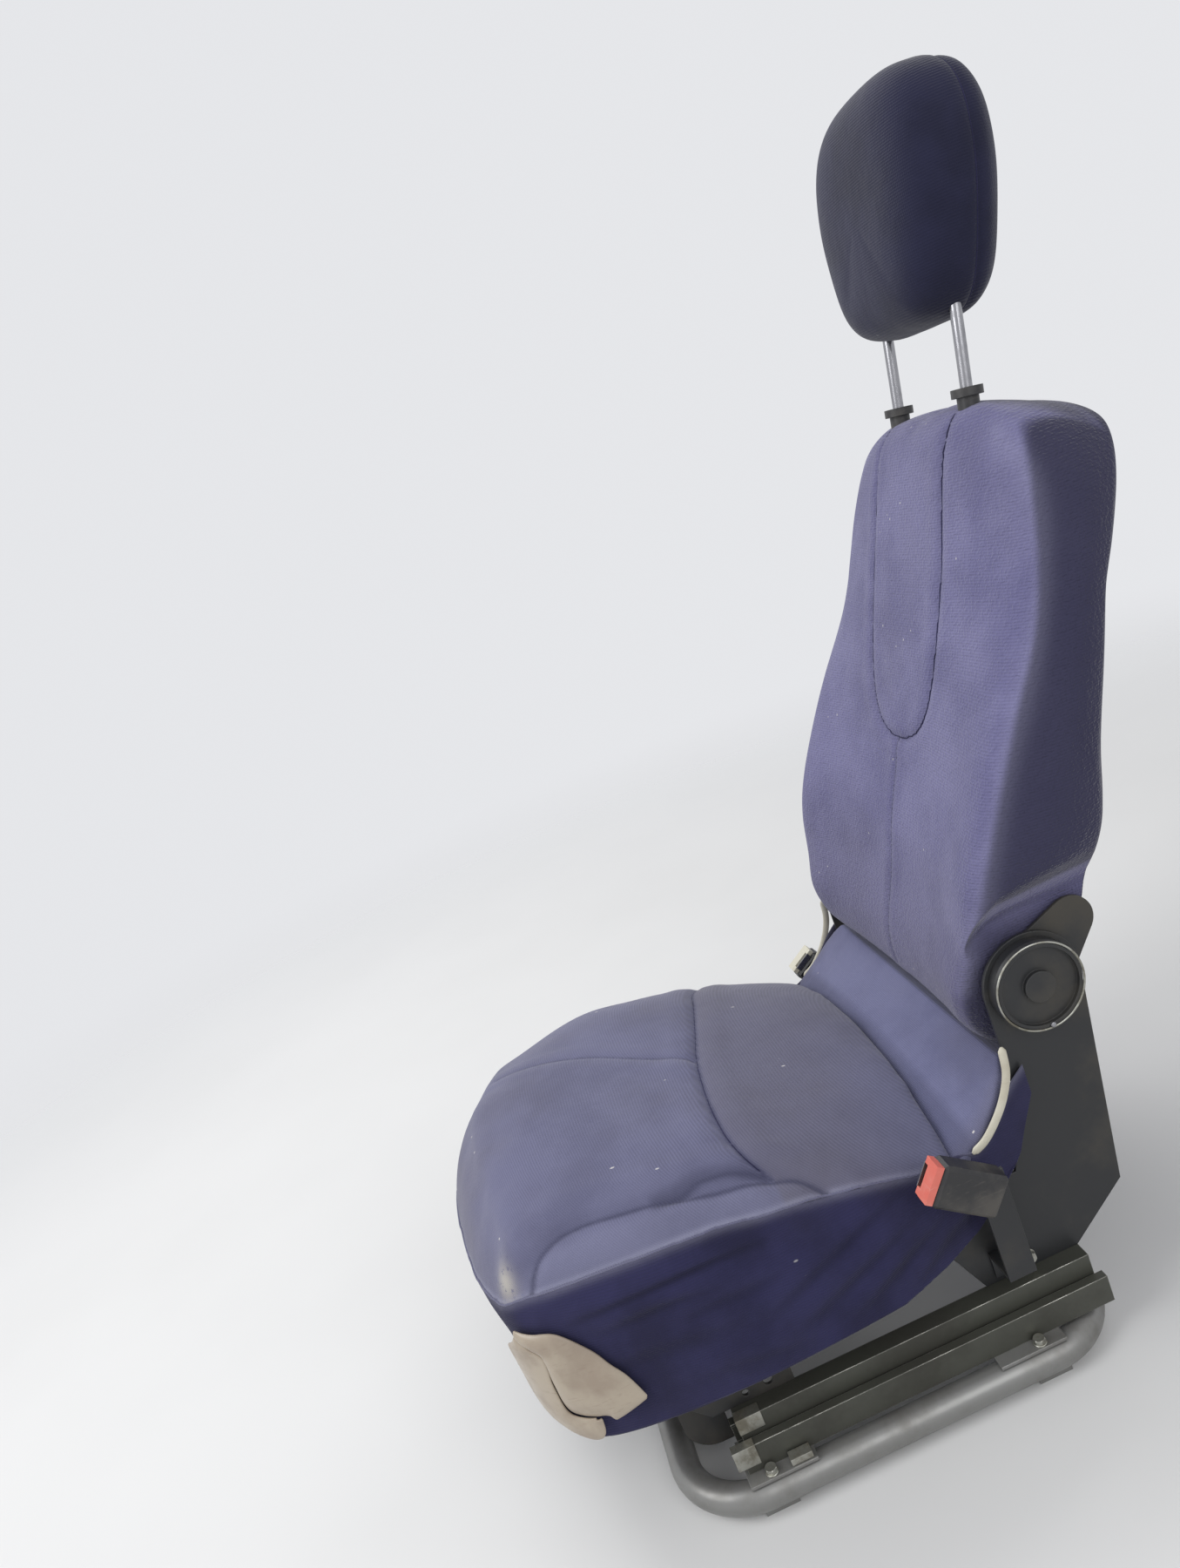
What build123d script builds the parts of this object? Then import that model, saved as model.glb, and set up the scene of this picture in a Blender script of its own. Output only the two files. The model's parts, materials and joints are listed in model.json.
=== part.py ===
from build123d import *
import os

# Driver's seat of a light 4x4 car, on slide rails and a tubular floor frame.
# Millimetres. The origin is on the floor at the middle of the four floor bolts.
# +X is the occupant's left, +Y runs rearwards and +Z is up.

os.makedirs("parts", exist_ok=True)

# Clearances
FIT = 0.3             # between solids that face each other
RUN = 0.05            # radial, of a pin or post in its bore
FAR = 700.0           # longer than the seat in any direction from its middle

# Floor frame: a closed loop of tube on four flat feet
TUBE_R = 13.0
LOOP_HALF_W = 224.0
LOOP_HALF_L = 190.0
LOOP_CORNER_R = 60.0
FOOT_T = 5.0
FOOT_W = 30.0         # along Y
FOOT_OUT = 4.0        # foot edge outboard of the tube's centre line
BOLT_X = 160.0
BOLT_Y = 125.0
BOLT_HOLE_R = 4.5
TUBE_Z = FOOT_T + FIT + TUBE_R

# Slide rails
RAIL_X = 200.0
RAIL_W = 36.0
RAIL_H = 25.0
RAIL_T = 2.5
RAIL_LIP = 8.0
RAIL_FRONT = -140.0
RAIL_REAR = 196.0
BRACKET_T = 3.0       # bracket between tube and rail
BRACKET_L = 60.0
BRACKET_Y = 113.0
SLIDER_W = 16.0       # upper rail's box
SLIDER_RISE = 18.0    # upper rail above the lower one
SLIDER_GAP = 0.4      # running gap in the rail
SLIDER_FRONT = -134.0
SLIDER_REAR = 190.0
RAIL_Z = TUBE_Z + TUBE_R + FIT + BRACKET_T
RAIL_TOP = RAIL_Z + RAIL_H
LOCK_PITCH = 14.0     # notches for the slide lock, along the inboard lip
LOCK_SLOT = (7.0, 4.0)   # along the rail, and into the lip
LOCK_COUNT = 19
LOCK_FIRST = -106.0
LATCH_GAP = 1.0       # between the lifted latch and the lip
LATCH_T = 2.5
LATCH_L = 88.0
LATCH_Y = -40.0
LATCH_H = 14.0
TOOTH = (5.0, 6.0)    # along the rail, and across it
TEETH = 4
SLIDER_TOP = RAIL_TOP + SLIDER_RISE

# Cushion frame
PLATE_X = 190.0       # inner face of the side plates
PLATE_T = 3.0
BEAM_TOP = 168.0
BEAM_DEPTH = 48.0
PLATE_FRONT = -190.0
FOOT_FRONT = (-150.0, -75.0)
FOOT_REAR = (104.0, 190.0)
UPRIGHT_Z = 220.0     # foot of the upright that carries the recliner
HOLES = ((-96.0, 10.0, 4.5), (-117.0, 8.0, 3.2))   # y, height over the rail, radius
LOBE_X = 176.0        # front lobe, stepped inboard so that it passes the rail
LOBE_Y = (-177.0, -140.0)
LOBE_Z = 38.0
LOBE_R = 26.0
CROSS_R = 11.0
CROSS_YS = (-122.0, 130.0)
PAN_T = 2.0
PAN_FRONT = -205.0
PAN_REAR = 128.0

# Recliner: a round housing outside the plate, rim, dish and boss
HINGE_Y = 222.0
HINGE_Z = 322.0
HEAD_R = 42.0
DISC_R = 38.0
DISC_T = 12.0
DISC_RIM = 5.0
DISC_DISH = 4.0
BOSS_R = 13.0
PIN_R = 8.0
ARM_R = 34.0
ARM_TOP = (46.0, 34.0)   # behind and above the hinge
ARM_W = 40.0

# Cushion
CUSHION_FRONT = -290.0
CORNER = (212.0, -254.0)
SIDE_MID = (224.0, -90.0)
REAR_SIDE = (205.0, 116.0)
CUSHION_REAR = 131.0
CORNER_R = 55.0
TOP_ROUND = 22.0
ROUND_TO = 105.0      # the rounding of the top's edge ends here, before the flap
# Top of the cushion at each section: x, height in front, in the middle, at the rear
CUSHION_TOP = (
    (-232.0, 250.0, 246.0, 180.0),
    (-200.0, 278.0, 268.0, 194.0),
    (0.0, 316.0, 288.0, 236.0),
    (200.0, 278.0, 268.0, 194.0),
    (232.0, 250.0, 246.0, 180.0),
)
TOP_Y = (-320.0, -80.0, 140.0)
CUSHION_Z = BEAM_TOP + PAN_T + FIT

# Skirt under the cushion's edge
SKIRT_T = 4.0
SKIRT_INSET = 3.0
SKIRT_Z = 117.0
SKIRT_FRONT = -256.0   # behind this the corner caps cover the gap, up to the side parts
SKIRT_SIDE = -196.0
SKIRT_END = 96.0

# Wall of the skirt and cushion at each level: height, moved in all round, nose moved forward
WALL = (
    (SKIRT_Z, 0.0, 0.0),
    (CUSHION_Z, 0.0, 4.0),
    (235.0, 0.0, 12.0),
    (330.0, 8.0, -30.0),
)

# Corner cap: outline as distance along the corner's diagonal, and height
CAP_T = 3.5
CAP_LIP_T = 2.5
CAP_TIP = (24.0, 135.0)
CAP_TOP = (-24.0, 231.0)
CAP_FRONT = (-84.0, 204.0)
CAP_SWELL = (10.0, 8.0)   # the rear edge bows out this far between its ends
CAP_LIP_TOP = ((-84.0, 204.0), (-52.0, 172.0), (-31.0, 145.0), (-14.0, 138.0))
CAP_LIP_LOW = ((-20.0, 120.0), (-60.0, 128.0))

# Flap between the cushion and the backrest
FLAP_HALF_W = 196.0
FLAP_NECK = (175.5, 179.4)   # beyond this x the flap ends at this y, before the side plate
FLAP_T = 16.0
FLAP_TOP = (184.0, 260.0)
FLAP_LOW = 6.0        # below the cushion's rear edge
STRIP_W = 7.0
STRIP_T = 4.0
STRIP_LINE = ((128.0, 206.0), (160.0, 231.0), (178.0, 286.0))   # middle line of the curved strip

# Backrest sections: z, half width, front middle, front side, rear middle, rear side
BACK = (
    (267.0, 182.0, 196.0, 188.0, 262.0, 258.0),
    (320.0, 188.0, 199.0, 162.0, 294.0, 272.0),
    (405.0, 226.0, 220.0, 186.0, 328.0, 292.0),
    (490.0, 222.0, 252.0, 232.0, 357.0, 322.0),
    (590.0, 212.0, 288.0, 294.0, 392.0, 364.0),
    (682.0, 194.0, 320.0, 336.0, 426.0, 408.0),
    (784.0, 138.0, 352.0, 372.0, 462.0, 450.0),
)
BACK_TOP = (348.0, 762.0)   # front edge of the top
BACK_TOP_FALL = 20.0        # degrees that the top falls rearwards
BACK_TOP_BEVEL = 24.0
BACK_SWEEP_R = 68.0         # the pad's lower front edge turns inside this radius
NOTCH_R = HEAD_R + 16.0     # room for the plate's head and the arm
NOTCH_DEPTH = 60.0

# Belt buckles, leaning forward: side, y, z, lean, y of the strap, top of the strap
STRAP_X = 229.0
STRAP_T = 3.0
STRAP_W = 24.0
STRAP_Z = 108.0
BUCKLE = (22.0, 36.0, 56.0)
BUCKLE_ROUND = 3.0
BUCKLES = (
    (1, 102.0, 214.0, 53.0, 126.0, 206.0),
    (-1, 156.0, 180.0, 32.0, 166.0, 172.0),
)
BUTTON = (13.0, 32.0, 6.0)
BUTTON_OUT = 3.0      # the button lies off the middle, outboard of the tongue's slot
SLOT = (3.5, 27.0, 16.0)   # slot for the belt's tongue: across, along, deep
SLOT_IN = 6.5         # inboard of the buckle's middle

# Headrest
POST_X = 66.0
POST_R = 5.0
POST_LEAN = 9.0
POST_FOOT = (372.0, 756.0)
POST_IN = 96.0
POST_OUT = 66.0
POST_HELD = 60.0      # length inside the headrest
POST_ROOM = 1.5       # radial, round a post inside the pads
SLEEVE_R = 9.0
SLEEVE_L = 60.0
BEZEL_R = 13.0
BEZEL_H = 7.0
SLEEVE_PROUD = 2.0    # the collar's foot above the pad's sloping top
HEAD_T = 74.0
HEAD_H = 200.0
HEAD_W_LOW = 78.0
HEAD_W_MID = 112.0
HEAD_W_TOP = 96.0
HEAD_DROP = 20.0      # the top's sides lie lower than its middle
HEAD_CORNER_R = 25.0
HEAD_ROUND = 18.0


def side_name(side):
    return "left" if side > 0 else "right"


def span_x(side, inner, thickness):
    """Lowest and highest x of a layer that starts at inner on one side of the seat."""
    a = side * inner
    b = side * (inner + thickness)
    return min(a, b), max(a, b)


def box_between(low, high):
    """Box from its lowest to its highest corner."""
    size = [b - a for a, b in zip(low, high)]
    return Pos(*low) * Box(*size, align=(Align.MIN, Align.MIN, Align.MIN))


def plate_x(outline, x_low, x_high):
    """Plate with an outline in Y and Z, from x_low to x_high."""
    return Pos(x_low, 0, 0) * extrude(Plane.YZ * outline, x_high - x_low)


def rod_x(y, z, radius, x_low, x_high):
    return Pos((x_low + x_high) / 2, y, z) * Rot(0, 90, 0) * Cylinder(radius, x_high - x_low)


def floor_loop():
    """Tube bent into a rounded rectangle."""
    half_w = LOOP_HALF_W - LOOP_CORNER_R
    half_l = LOOP_HALF_L - LOOP_CORNER_R
    bend = revolve(Plane.XZ * Pos(LOOP_CORNER_R, 0) * Circle(TUBE_R), Axis.Z, 90)
    quarter = Pos(half_w, half_l, TUBE_Z) * bend
    quarter += Pos(LOOP_HALF_W, half_l / 2, TUBE_Z) * Rot(90, 0, 0) * Cylinder(TUBE_R, half_l)
    quarter += rod_x(LOOP_HALF_L, TUBE_Z, TUBE_R, 0, half_w)
    half = quarter + mirror(quarter, Plane.YZ)
    return half + mirror(half, Plane.XZ)


def foot(side, end):
    """Flat tab under the tube, rounded about its bolt."""
    outer = LOOP_HALF_W + FOOT_OUT
    sheet = Pos((outer + BOLT_X) / 2, BOLT_Y) * Rectangle(outer - BOLT_X, FOOT_W)
    sheet += Pos(BOLT_X, BOLT_Y) * Circle(FOOT_W / 2)
    sheet -= Pos(BOLT_X, BOLT_Y) * Circle(BOLT_HOLE_R)
    body = extrude(sheet, FOOT_T, dir=(0, 0, 1))
    if end < 0:
        body = mirror(body, Plane.XZ)
    return body if side > 0 else mirror(body, Plane.YZ)


def rail_bracket(side, end):
    """Flat bracket on the tube that carries the rail."""
    low_x, high_x = span_x(side, RAIL_X - RAIL_W / 2, LOOP_HALF_W + TUBE_R / 2 - RAIL_X + RAIL_W / 2)
    y = end * BRACKET_Y
    low = (low_x, y - BRACKET_L / 2, RAIL_Z - BRACKET_T)
    high = (high_x, y + BRACKET_L / 2, RAIL_Z)
    return box_between(low, high)


def lower_rail(side):
    """Channel with lips turned in."""
    x = side * RAIL_X
    half = RAIL_W / 2
    body = box_between((x - half, RAIL_FRONT, RAIL_Z), (x + half, RAIL_REAR, RAIL_TOP))
    hollow = half - RAIL_T
    body -= box_between((x - hollow, RAIL_FRONT, RAIL_Z + RAIL_T), (x + hollow, RAIL_REAR, RAIL_TOP - RAIL_T))
    slot = half - RAIL_LIP
    body -= box_between((x - slot, RAIL_FRONT, RAIL_TOP - RAIL_T), (x + slot, RAIL_REAR, RAIL_TOP))
    long, deep = LOCK_SLOT
    low_x, high_x = span_x(side, RAIL_X - slot - deep, deep)
    for index in range(LOCK_COUNT):
        y = LOCK_FIRST + index * LOCK_PITCH
        body -= box_between((low_x, y - long / 2, RAIL_TOP - RAIL_T), (high_x, y + long / 2, RAIL_TOP))
    return body


def slide_latch(side):
    """Toothed lock plate on the inboard face of the upper rail, lifted clear of the notches."""
    low_z = RAIL_TOP + LATCH_GAP
    low_x, high_x = span_x(side, RAIL_X - SLIDER_W / 2 - FIT - LATCH_T, LATCH_T)
    body = box_between((low_x, LATCH_Y - LATCH_L / 2, low_z), (high_x, LATCH_Y + LATCH_L / 2, low_z + LATCH_H))
    long, across = TOOTH
    low_x, high_x = span_x(side, RAIL_X - SLIDER_W / 2 - FIT - across, across)
    for index in range(TEETH):
        y = LATCH_Y + (index - (TEETH - 1) / 2) * LOCK_PITCH
        body += box_between((low_x, y - long / 2, low_z), (high_x, y + long / 2, low_z + LATCH_T))
    return body


def upper_rail(side):
    """Slider: a box that rises out of the channel, with flanges held under the lips."""
    x = side * RAIL_X
    floor_z = RAIL_Z + RAIL_T + SLIDER_GAP
    flange = RAIL_W / 2 - RAIL_T - SLIDER_GAP
    half = SLIDER_W / 2
    body = box_between((x - half, SLIDER_FRONT, floor_z), (x + half, SLIDER_REAR, SLIDER_TOP))
    body += box_between((x - flange, SLIDER_FRONT, floor_z), (x + flange, SLIDER_REAR, floor_z + RAIL_T))
    core = half - RAIL_T
    body -= box_between((x - core, SLIDER_FRONT, floor_z + RAIL_T), (x + core, SLIDER_REAR, SLIDER_TOP - RAIL_T))
    return body


def side_plate(side):
    """Pressed side plate: two feet on the rail, a beam, and an upright with the recliner's head."""
    beam_low = BEAM_TOP - BEAM_DEPTH
    neck = HINGE_Y - HEAD_R
    outline = Polyline(
        (PLATE_FRONT, BEAM_TOP), (PLATE_FRONT, beam_low), (FOOT_FRONT[0], SLIDER_TOP),
        (FOOT_FRONT[1], SLIDER_TOP), (FOOT_FRONT[1], beam_low),
        (FOOT_REAR[0] - HEAD_R / 2, beam_low), (FOOT_REAR[0], SLIDER_TOP), (FOOT_REAR[1], SLIDER_TOP),
        (HINGE_Y + HEAD_R / 2, beam_low), (HINGE_Y + HEAD_R, HINGE_Z), (neck, HINGE_Z),
        (neck, UPRIGHT_Z), (neck - HEAD_R / 2, BEAM_TOP), close=True)
    face = make_face(outline) + Pos(HINGE_Y, HINGE_Z) * Circle(HEAD_R)
    face -= Pos(HINGE_Y, HINGE_Z) * Circle(PIN_R + RUN)
    for y, height, radius in HOLES:
        face -= Pos(y, SLIDER_TOP + height) * Circle(radius)
    plate = plate_x(face, *span_x(side, PLATE_X, PLATE_T))
    return plate + front_lobe(side)


def front_lobe(side):
    """Front end of the side plate, stepped inboard and rounded below."""
    y_front, y_back = LOBE_Y
    tall = BEAM_TOP - LOBE_Z
    lobe = Pos((y_front + y_back) / 2, LOBE_Z + tall / 2) * Rectangle(y_back - y_front, tall)
    lobe = fillet(lobe.vertices().sort_by(Axis.Y)[0:2].sort_by(Axis.X)[0], LOBE_R)
    body = plate_x(lobe, *span_x(side, LOBE_X, PLATE_T))
    low_x, high_x = span_x(side, LOBE_X, PLATE_X + PLATE_T - LOBE_X)
    step = box_between((low_x, y_front, BEAM_TOP - BEAM_DEPTH), (high_x, y_front + PLATE_T, BEAM_TOP))
    return body + step


def recliner(side):
    """Round housing outside the plate, dished round a boss, on the pin that the backrest turns on."""
    start = PLATE_X + PLATE_T + FIT
    dish = DISC_T - DISC_DISH
    profile = Polyline(
        (0, 0), (DISC_R, 0), (DISC_R, dish), (DISC_R - DISC_RIM / 2, DISC_T), (DISC_R - DISC_RIM, DISC_T),
        (DISC_R - DISC_RIM, dish), (BOSS_R, dish), (BOSS_R, DISC_T), (0, DISC_T), close=True)
    disc = revolve(Plane.XZ * make_face(profile), Axis.Z)
    body = Pos(start, HINGE_Y, HINGE_Z) * Rot(0, 90, 0) * disc
    pin_start = PLATE_X - PLATE_T - 2 * FIT
    body += rod_x(HINGE_Y, HINGE_Z, PIN_R, pin_start, start + dish)
    return body if side > 0 else mirror(body, Plane.YZ)


def back_arm(side):
    """Arm of the backrest, inside the side plate."""
    behind, above = ARM_TOP
    outline = Pos(HINGE_Y, HINGE_Z) * Circle(ARM_R)
    outline += Pos(HINGE_Y + behind, HINGE_Z + above) * Circle(ARM_W / 2)
    outline = make_hull(outline.edges())
    outline -= Pos(HINGE_Y, HINGE_Z) * Circle(PIN_R + RUN)
    return plate_x(outline, *span_x(side, PLATE_X - FIT - PLATE_T, PLATE_T))


def cross_tube(y):
    return rod_x(y, BEAM_TOP - CROSS_R - FIT, CROSS_R, -PLATE_X, PLATE_X)


def seat_pan():
    half = PLATE_X - FIT
    return box_between((-half, PAN_FRONT, BEAM_TOP + FIT), (half, PAN_REAR, BEAM_TOP + PAN_T))


def cushion_plan(inset, nose):
    """Plan of the cushion, moved in by inset: bowed front, bowed sides and a shallow arc behind."""
    x = CORNER[0] - inset
    y = CORNER[1] + inset - nose
    front = CUSHION_FRONT + inset - nose
    mid_x = SIDE_MID[0] - inset
    mid_y = SIDE_MID[1]
    rear_x = REAR_SIDE[0] - inset
    rear_y = REAR_SIDE[1] - inset
    edges = [
        ThreePointArc((-x, y), (0, front), (x, y)),
        ThreePointArc((x, y), (mid_x, mid_y), (rear_x, rear_y)),
        ThreePointArc((rear_x, rear_y), (0, CUSHION_REAR - inset), (-rear_x, rear_y)),
        ThreePointArc((-rear_x, rear_y), (-mid_x, mid_y), (-x, y)),
    ]
    face = make_face(edges)
    corners = face.vertices().filter_by(lambda v: v.Y < 0)
    return fillet(corners, CORNER_R - inset)


def wall(inset):
    """Solid inside the cushion's sides and nose, from the skirt's hem up."""
    return loft([Pos(0, 0, z) * cushion_plan(inset + more, nose) for z, more, nose in WALL], ruled=True)


def cushion():
    """Block with a crowned top, a nose that bulges in front, and rounded top edges."""
    sections = []
    for x, z_front, z_middle, z_rear in CUSHION_TOP:
        front, middle, rear = TOP_Y
        top = ThreePointArc((front, z_front), (middle, z_middle), (rear, z_rear))
        rest = Polyline((rear, z_rear), (rear, CUSHION_Z), (front, CUSHION_Z), (front, z_front))
        sections.append(Pos(x, 0, 0) * (Plane.YZ * make_face([top, *rest.edges()])))
    body = loft(sections) & wall(0)
    rim = [e for e in body.edges() if e.center().Z > CUSHION_Z + TOP_ROUND and e.center().Y < ROUND_TO]
    return fillet(rim, TOP_ROUND)


def band(inset, thickness):
    """Wall that follows the cushion's sides and nose."""
    return wall(inset) - wall(inset + thickness)


def skirt_part(low, high):
    """Stretch of the cloth band under the cushion's edge, between two corners in plan."""
    return band(SKIRT_INSET, SKIRT_T) & box_between((*low, SKIRT_Z), (*high, CUSHION_Z - FIT))


def corner_cap(side):
    """Moulded cap round the cushion's front corner: a shell, and a thicker lip below it."""
    diagonal = Plane((0, 0, 0), x_dir=(1, 1, 0), z_dir=(1, -1, 0))
    swollen = tuple((a + b) / 2 + out for a, b, out in zip(CAP_TIP, CAP_TOP, CAP_SWELL))
    edges = [
        ThreePointArc(CAP_TIP, swollen, CAP_TOP),
        Line(CAP_TOP, CAP_FRONT),
        *Polyline(CAP_FRONT, CAP_LIP_LOW[1], CAP_LIP_TOP[3], CAP_TIP).edges(),
    ]
    shell = band(-CAP_T - FIT, CAP_T) & extrude(diagonal * make_face(edges), FAR)
    lip_face = make_face(Polyline(*CAP_LIP_TOP, *CAP_LIP_LOW, close=True))
    lip = band(-CAP_T - CAP_LIP_T - FIT, CAP_T + CAP_LIP_T) & extrude(diagonal * lip_face, FAR)
    body = shell + lip
    return body if side > 0 else mirror(body, Plane.YZ)


def flap():
    """Padded flap that rises from the cushion's rear edge under the backrest."""
    y, z = FLAP_TOP
    low_z = CUSHION_TOP[2][3] - FLAP_LOW
    start = CUSHION_REAR + 2 * FIT
    run = Vector(y - start, z - low_z)
    across = Vector(run.Y, -run.X).normalized() * FLAP_T
    outline = Polyline(
        (start, low_z), (y, z), (y + across.X, z + across.Y),
        (start + across.X, low_z + across.Y), (start, low_z - FLAP_T), close=True)
    body = plate_x(make_face(outline), -FLAP_HALF_W, FLAP_HALF_W)
    neck_x, neck_y = FLAP_NECK
    for side in (-1, 1):
        low_x, high_x = span_x(side, neck_x, FAR)
        body -= box_between((low_x, neck_y, 0), (high_x, FAR, FAR))
    return body


def edge_strip(side):
    """Moulded strip that curves up beside the flap's edge."""
    start, middle, end = [Vector(*at) for at in STRIP_LINE]
    out = Vector(-(end - start).Y, (end - start).X).normalized() * (STRIP_W / 2)
    edges = [
        ThreePointArc(start - out, middle - out, end - out),
        Line(end - out, end + out),
        ThreePointArc(end + out, middle + out, start + out),
        Line(start + out, start - out),
    ]
    return plate_x(make_face(edges), *span_x(side, FLAP_HALF_W + FIT, STRIP_T))


def back_section(z, half_w, front, front_side, rear, rear_side):
    edges = [
        ThreePointArc((-half_w, front_side), (0, front), (half_w, front_side)),
        Line((half_w, front_side), (half_w, rear_side)),
        ThreePointArc((half_w, rear_side), (0, rear), (-half_w, rear_side)),
        Line((-half_w, rear_side), (-half_w, front_side)),
    ]
    return Pos(0, 0, z) * make_face(edges)


def post_axis(side):
    """Frame at the top of the backrest on a post's axis, z along the post."""
    y, z = POST_FOOT
    return Pos(side * POST_X, y, z) * Rot(-POST_LEAN, 0, 0)


def back_pad():
    """Backrest, with a sloping bevelled top and room for the arms, plates, sleeves and posts."""
    body = loft([back_section(*row) for row in BACK])
    above = Pos(0, *BACK_TOP) * Rot(-BACK_TOP_FALL, 0, 0)
    above = above * Box(2 * FAR, 2 * FAR, FAR, align=(Align.CENTER, Align.CENTER, Align.MIN))
    body -= above
    top = body.faces().sort_by(Axis.Z)[-1]
    body = chamfer(top.edges(), BACK_TOP_BEVEL)
    for side in (-1, 1):
        low, high = span_x(side, PLATE_X - PLATE_T - 4 * FIT, NOTCH_DEPTH)
        behind = HINGE_Y + 2 * NOTCH_R
        body -= rod_x(HINGE_Y, HINGE_Z, NOTCH_R, low, high)
        body -= box_between((low, HINGE_Y, BEAM_TOP), (high, behind, HINGE_Z + NOTCH_R))
        body -= box_between((low, HINGE_Y - HEAD_R, BEAM_TOP), (high, behind, HINGE_Z))
        bore = post_axis(side) * Cylinder(POST_R + POST_ROOM, 2 * (POST_IN + SLEEVE_L))
        seat = post_axis(side) * Cylinder(SLEEVE_R + FIT, 2 * SLEEVE_L)
        body -= bore + seat
    quarter = box_between((-FAR, 0, 0), (FAR, HINGE_Y, HINGE_Z - ARM_R))
    body -= quarter - rod_x(HINGE_Y, HINGE_Z, BACK_SWEEP_R, -FAR, FAR)
    return body


def sleeve(side):
    """Guide sleeve of a headrest post, with its collar on the pad."""
    ring = Cylinder(SLEEVE_R, SLEEVE_L, align=(Align.CENTER, Align.CENTER, Align.MAX))
    ring += Cylinder(BEZEL_R, BEZEL_H, align=(Align.CENTER, Align.CENTER, Align.MIN))
    ring -= Cylinder(POST_R + RUN, 4 * SLEEVE_L)
    return post_axis(side) * Pos(0, 0, SLEEVE_PROUD) * ring


def headrest_post(side):
    """Post from inside the backrest up into the headrest."""
    length = POST_IN + POST_OUT + POST_HELD
    rod = Cylinder(POST_R, length, align=(Align.CENTER, Align.CENTER, Align.MIN))
    return post_axis(side) * Pos(0, 0, -POST_IN) * rod


def headrest_pad():
    """Pad wider above than below, square to the posts."""
    half_h = HEAD_H / 2
    side_h = HEAD_H - HEAD_DROP
    edges = [
        Line((-HEAD_W_LOW, 0), (HEAD_W_LOW, 0)),
        ThreePointArc((HEAD_W_LOW, 0), (HEAD_W_MID, half_h), (HEAD_W_TOP, side_h)),
        ThreePointArc((HEAD_W_TOP, side_h), (0, HEAD_H), (-HEAD_W_TOP, side_h)),
        ThreePointArc((-HEAD_W_TOP, side_h), (-HEAD_W_MID, half_h), (-HEAD_W_LOW, 0)),
    ]
    face = make_face(edges)
    face = fillet(face.vertices(), HEAD_CORNER_R)
    pad = extrude(Rot(90, 0, 0) * face, HEAD_T / 2, both=True)
    rims = pad.edges().filter_by(lambda e: abs(e.center().Y) > HEAD_T / 2 - FIT)
    pad = chamfer(rims, HEAD_ROUND)
    return post_axis(0) * Pos(0, 0, POST_OUT) * pad


def strap(side, y, top):
    """Flat steel strap of a buckle, from the side plate out past the skirt and up."""
    inner = PLATE_X + PLATE_T
    half = STRAP_W / 2
    body = box_between((inner, y - half, STRAP_Z - STRAP_W), (inner + STRAP_T, y + half, STRAP_Z))
    body += box_between((inner, y - half, STRAP_Z - STRAP_T), (STRAP_X, y + half, STRAP_Z))
    body += box_between((STRAP_X - STRAP_T, y - half, STRAP_Z - STRAP_T), (STRAP_X, y + half, top))
    return body if side > 0 else mirror(body, Plane.YZ)


def buckle_place(side, y, z, tilt):
    return Pos(side * (STRAP_X + FIT + BUCKLE[0] / 2), y, z) * Rot(tilt, 0, 0)


def buckle(side, y, z, tilt):
    """Buckle box on the outside of its strap."""
    thick, wide, tall = BUCKLE
    body = Box(thick, wide, tall)
    body = chamfer(body.edges(), BUCKLE_ROUND)
    body -= Pos(-side * SLOT_IN, 0, tall / 2) * Box(*SLOT, align=(Align.CENTER, Align.CENTER, Align.MAX))
    return buckle_place(side, y, z, tilt) * body


def button(side, y, z, tilt):
    """Plate on the buckle's end: the release button, or the pale strip on the other one."""
    body = Box(*BUTTON, align=(Align.CENTER, Align.CENTER, Align.MIN))
    return buckle_place(side, y, z, tilt) * Pos(side * BUTTON_OUT, 0, BUCKLE[2] / 2 + FIT) * body


def save(name, shape):
    shape.label = name
    export_step(shape, "parts/" + name + ".step")


save("floor_loop", floor_loop())
for side in (-1, 1):
    name = side_name(side)
    for end, end_name in ((-1, "front"), (1, "rear")):
        save("foot_" + end_name + "_" + name, foot(side, end))
        save("rail_plate_" + end_name + "_" + name, rail_bracket(side, end))
    save("lower_rail_" + name, lower_rail(side))
    save("upper_rail_" + name, upper_rail(side))
    save("slide_latch_" + name, slide_latch(side))
    save("side_plate_" + name, side_plate(side))
    save("recliner_" + name, recliner(side))
    save("back_arm_" + name, back_arm(side))
save("front_cross_tube", cross_tube(CROSS_YS[0]))
save("rear_cross_tube", cross_tube(CROSS_YS[1]))
save("seat_pan", seat_pan())
save("cushion", cushion())
save("skirt_left", skirt_part((0, SKIRT_SIDE), (FAR, SKIRT_END)))
save("skirt_right", skirt_part((-FAR, SKIRT_SIDE), (0, SKIRT_END)))
save("skirt_front", skirt_part((-FAR, -FAR), (FAR, SKIRT_FRONT)))
for side in (-1, 1):
    name = side_name(side)
    save("corner_cap_" + name, corner_cap(side))
    save("edge_strip_" + name, edge_strip(side))
    save("post_sleeve_" + name, sleeve(side))
save("rear_flap", flap())
save("back_pad", back_pad())
head = headrest_pad()
for side in (-1, 1):
    post = headrest_post(side)
    head -= post
    save("headrest_post_" + side_name(side), post)
save("headrest_pad", head)
for side, y, z, tilt, strap_y, strap_top in BUCKLES:
    save("buckle_" + side_name(side), buckle(side, y, z, tilt))
    save("buckle_button_" + side_name(side), button(side, y, z, tilt))
    save("buckle_strap_" + side_name(side), strap(side, strap_y, strap_top))
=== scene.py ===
import bpy
import bmesh
import json
import numpy as np
from math import copysign, cos, hypot, pi, radians, sin, sqrt
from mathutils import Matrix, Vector
from mathutils.bvhtree import BVHTree
from numpy.linalg import norm


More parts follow.
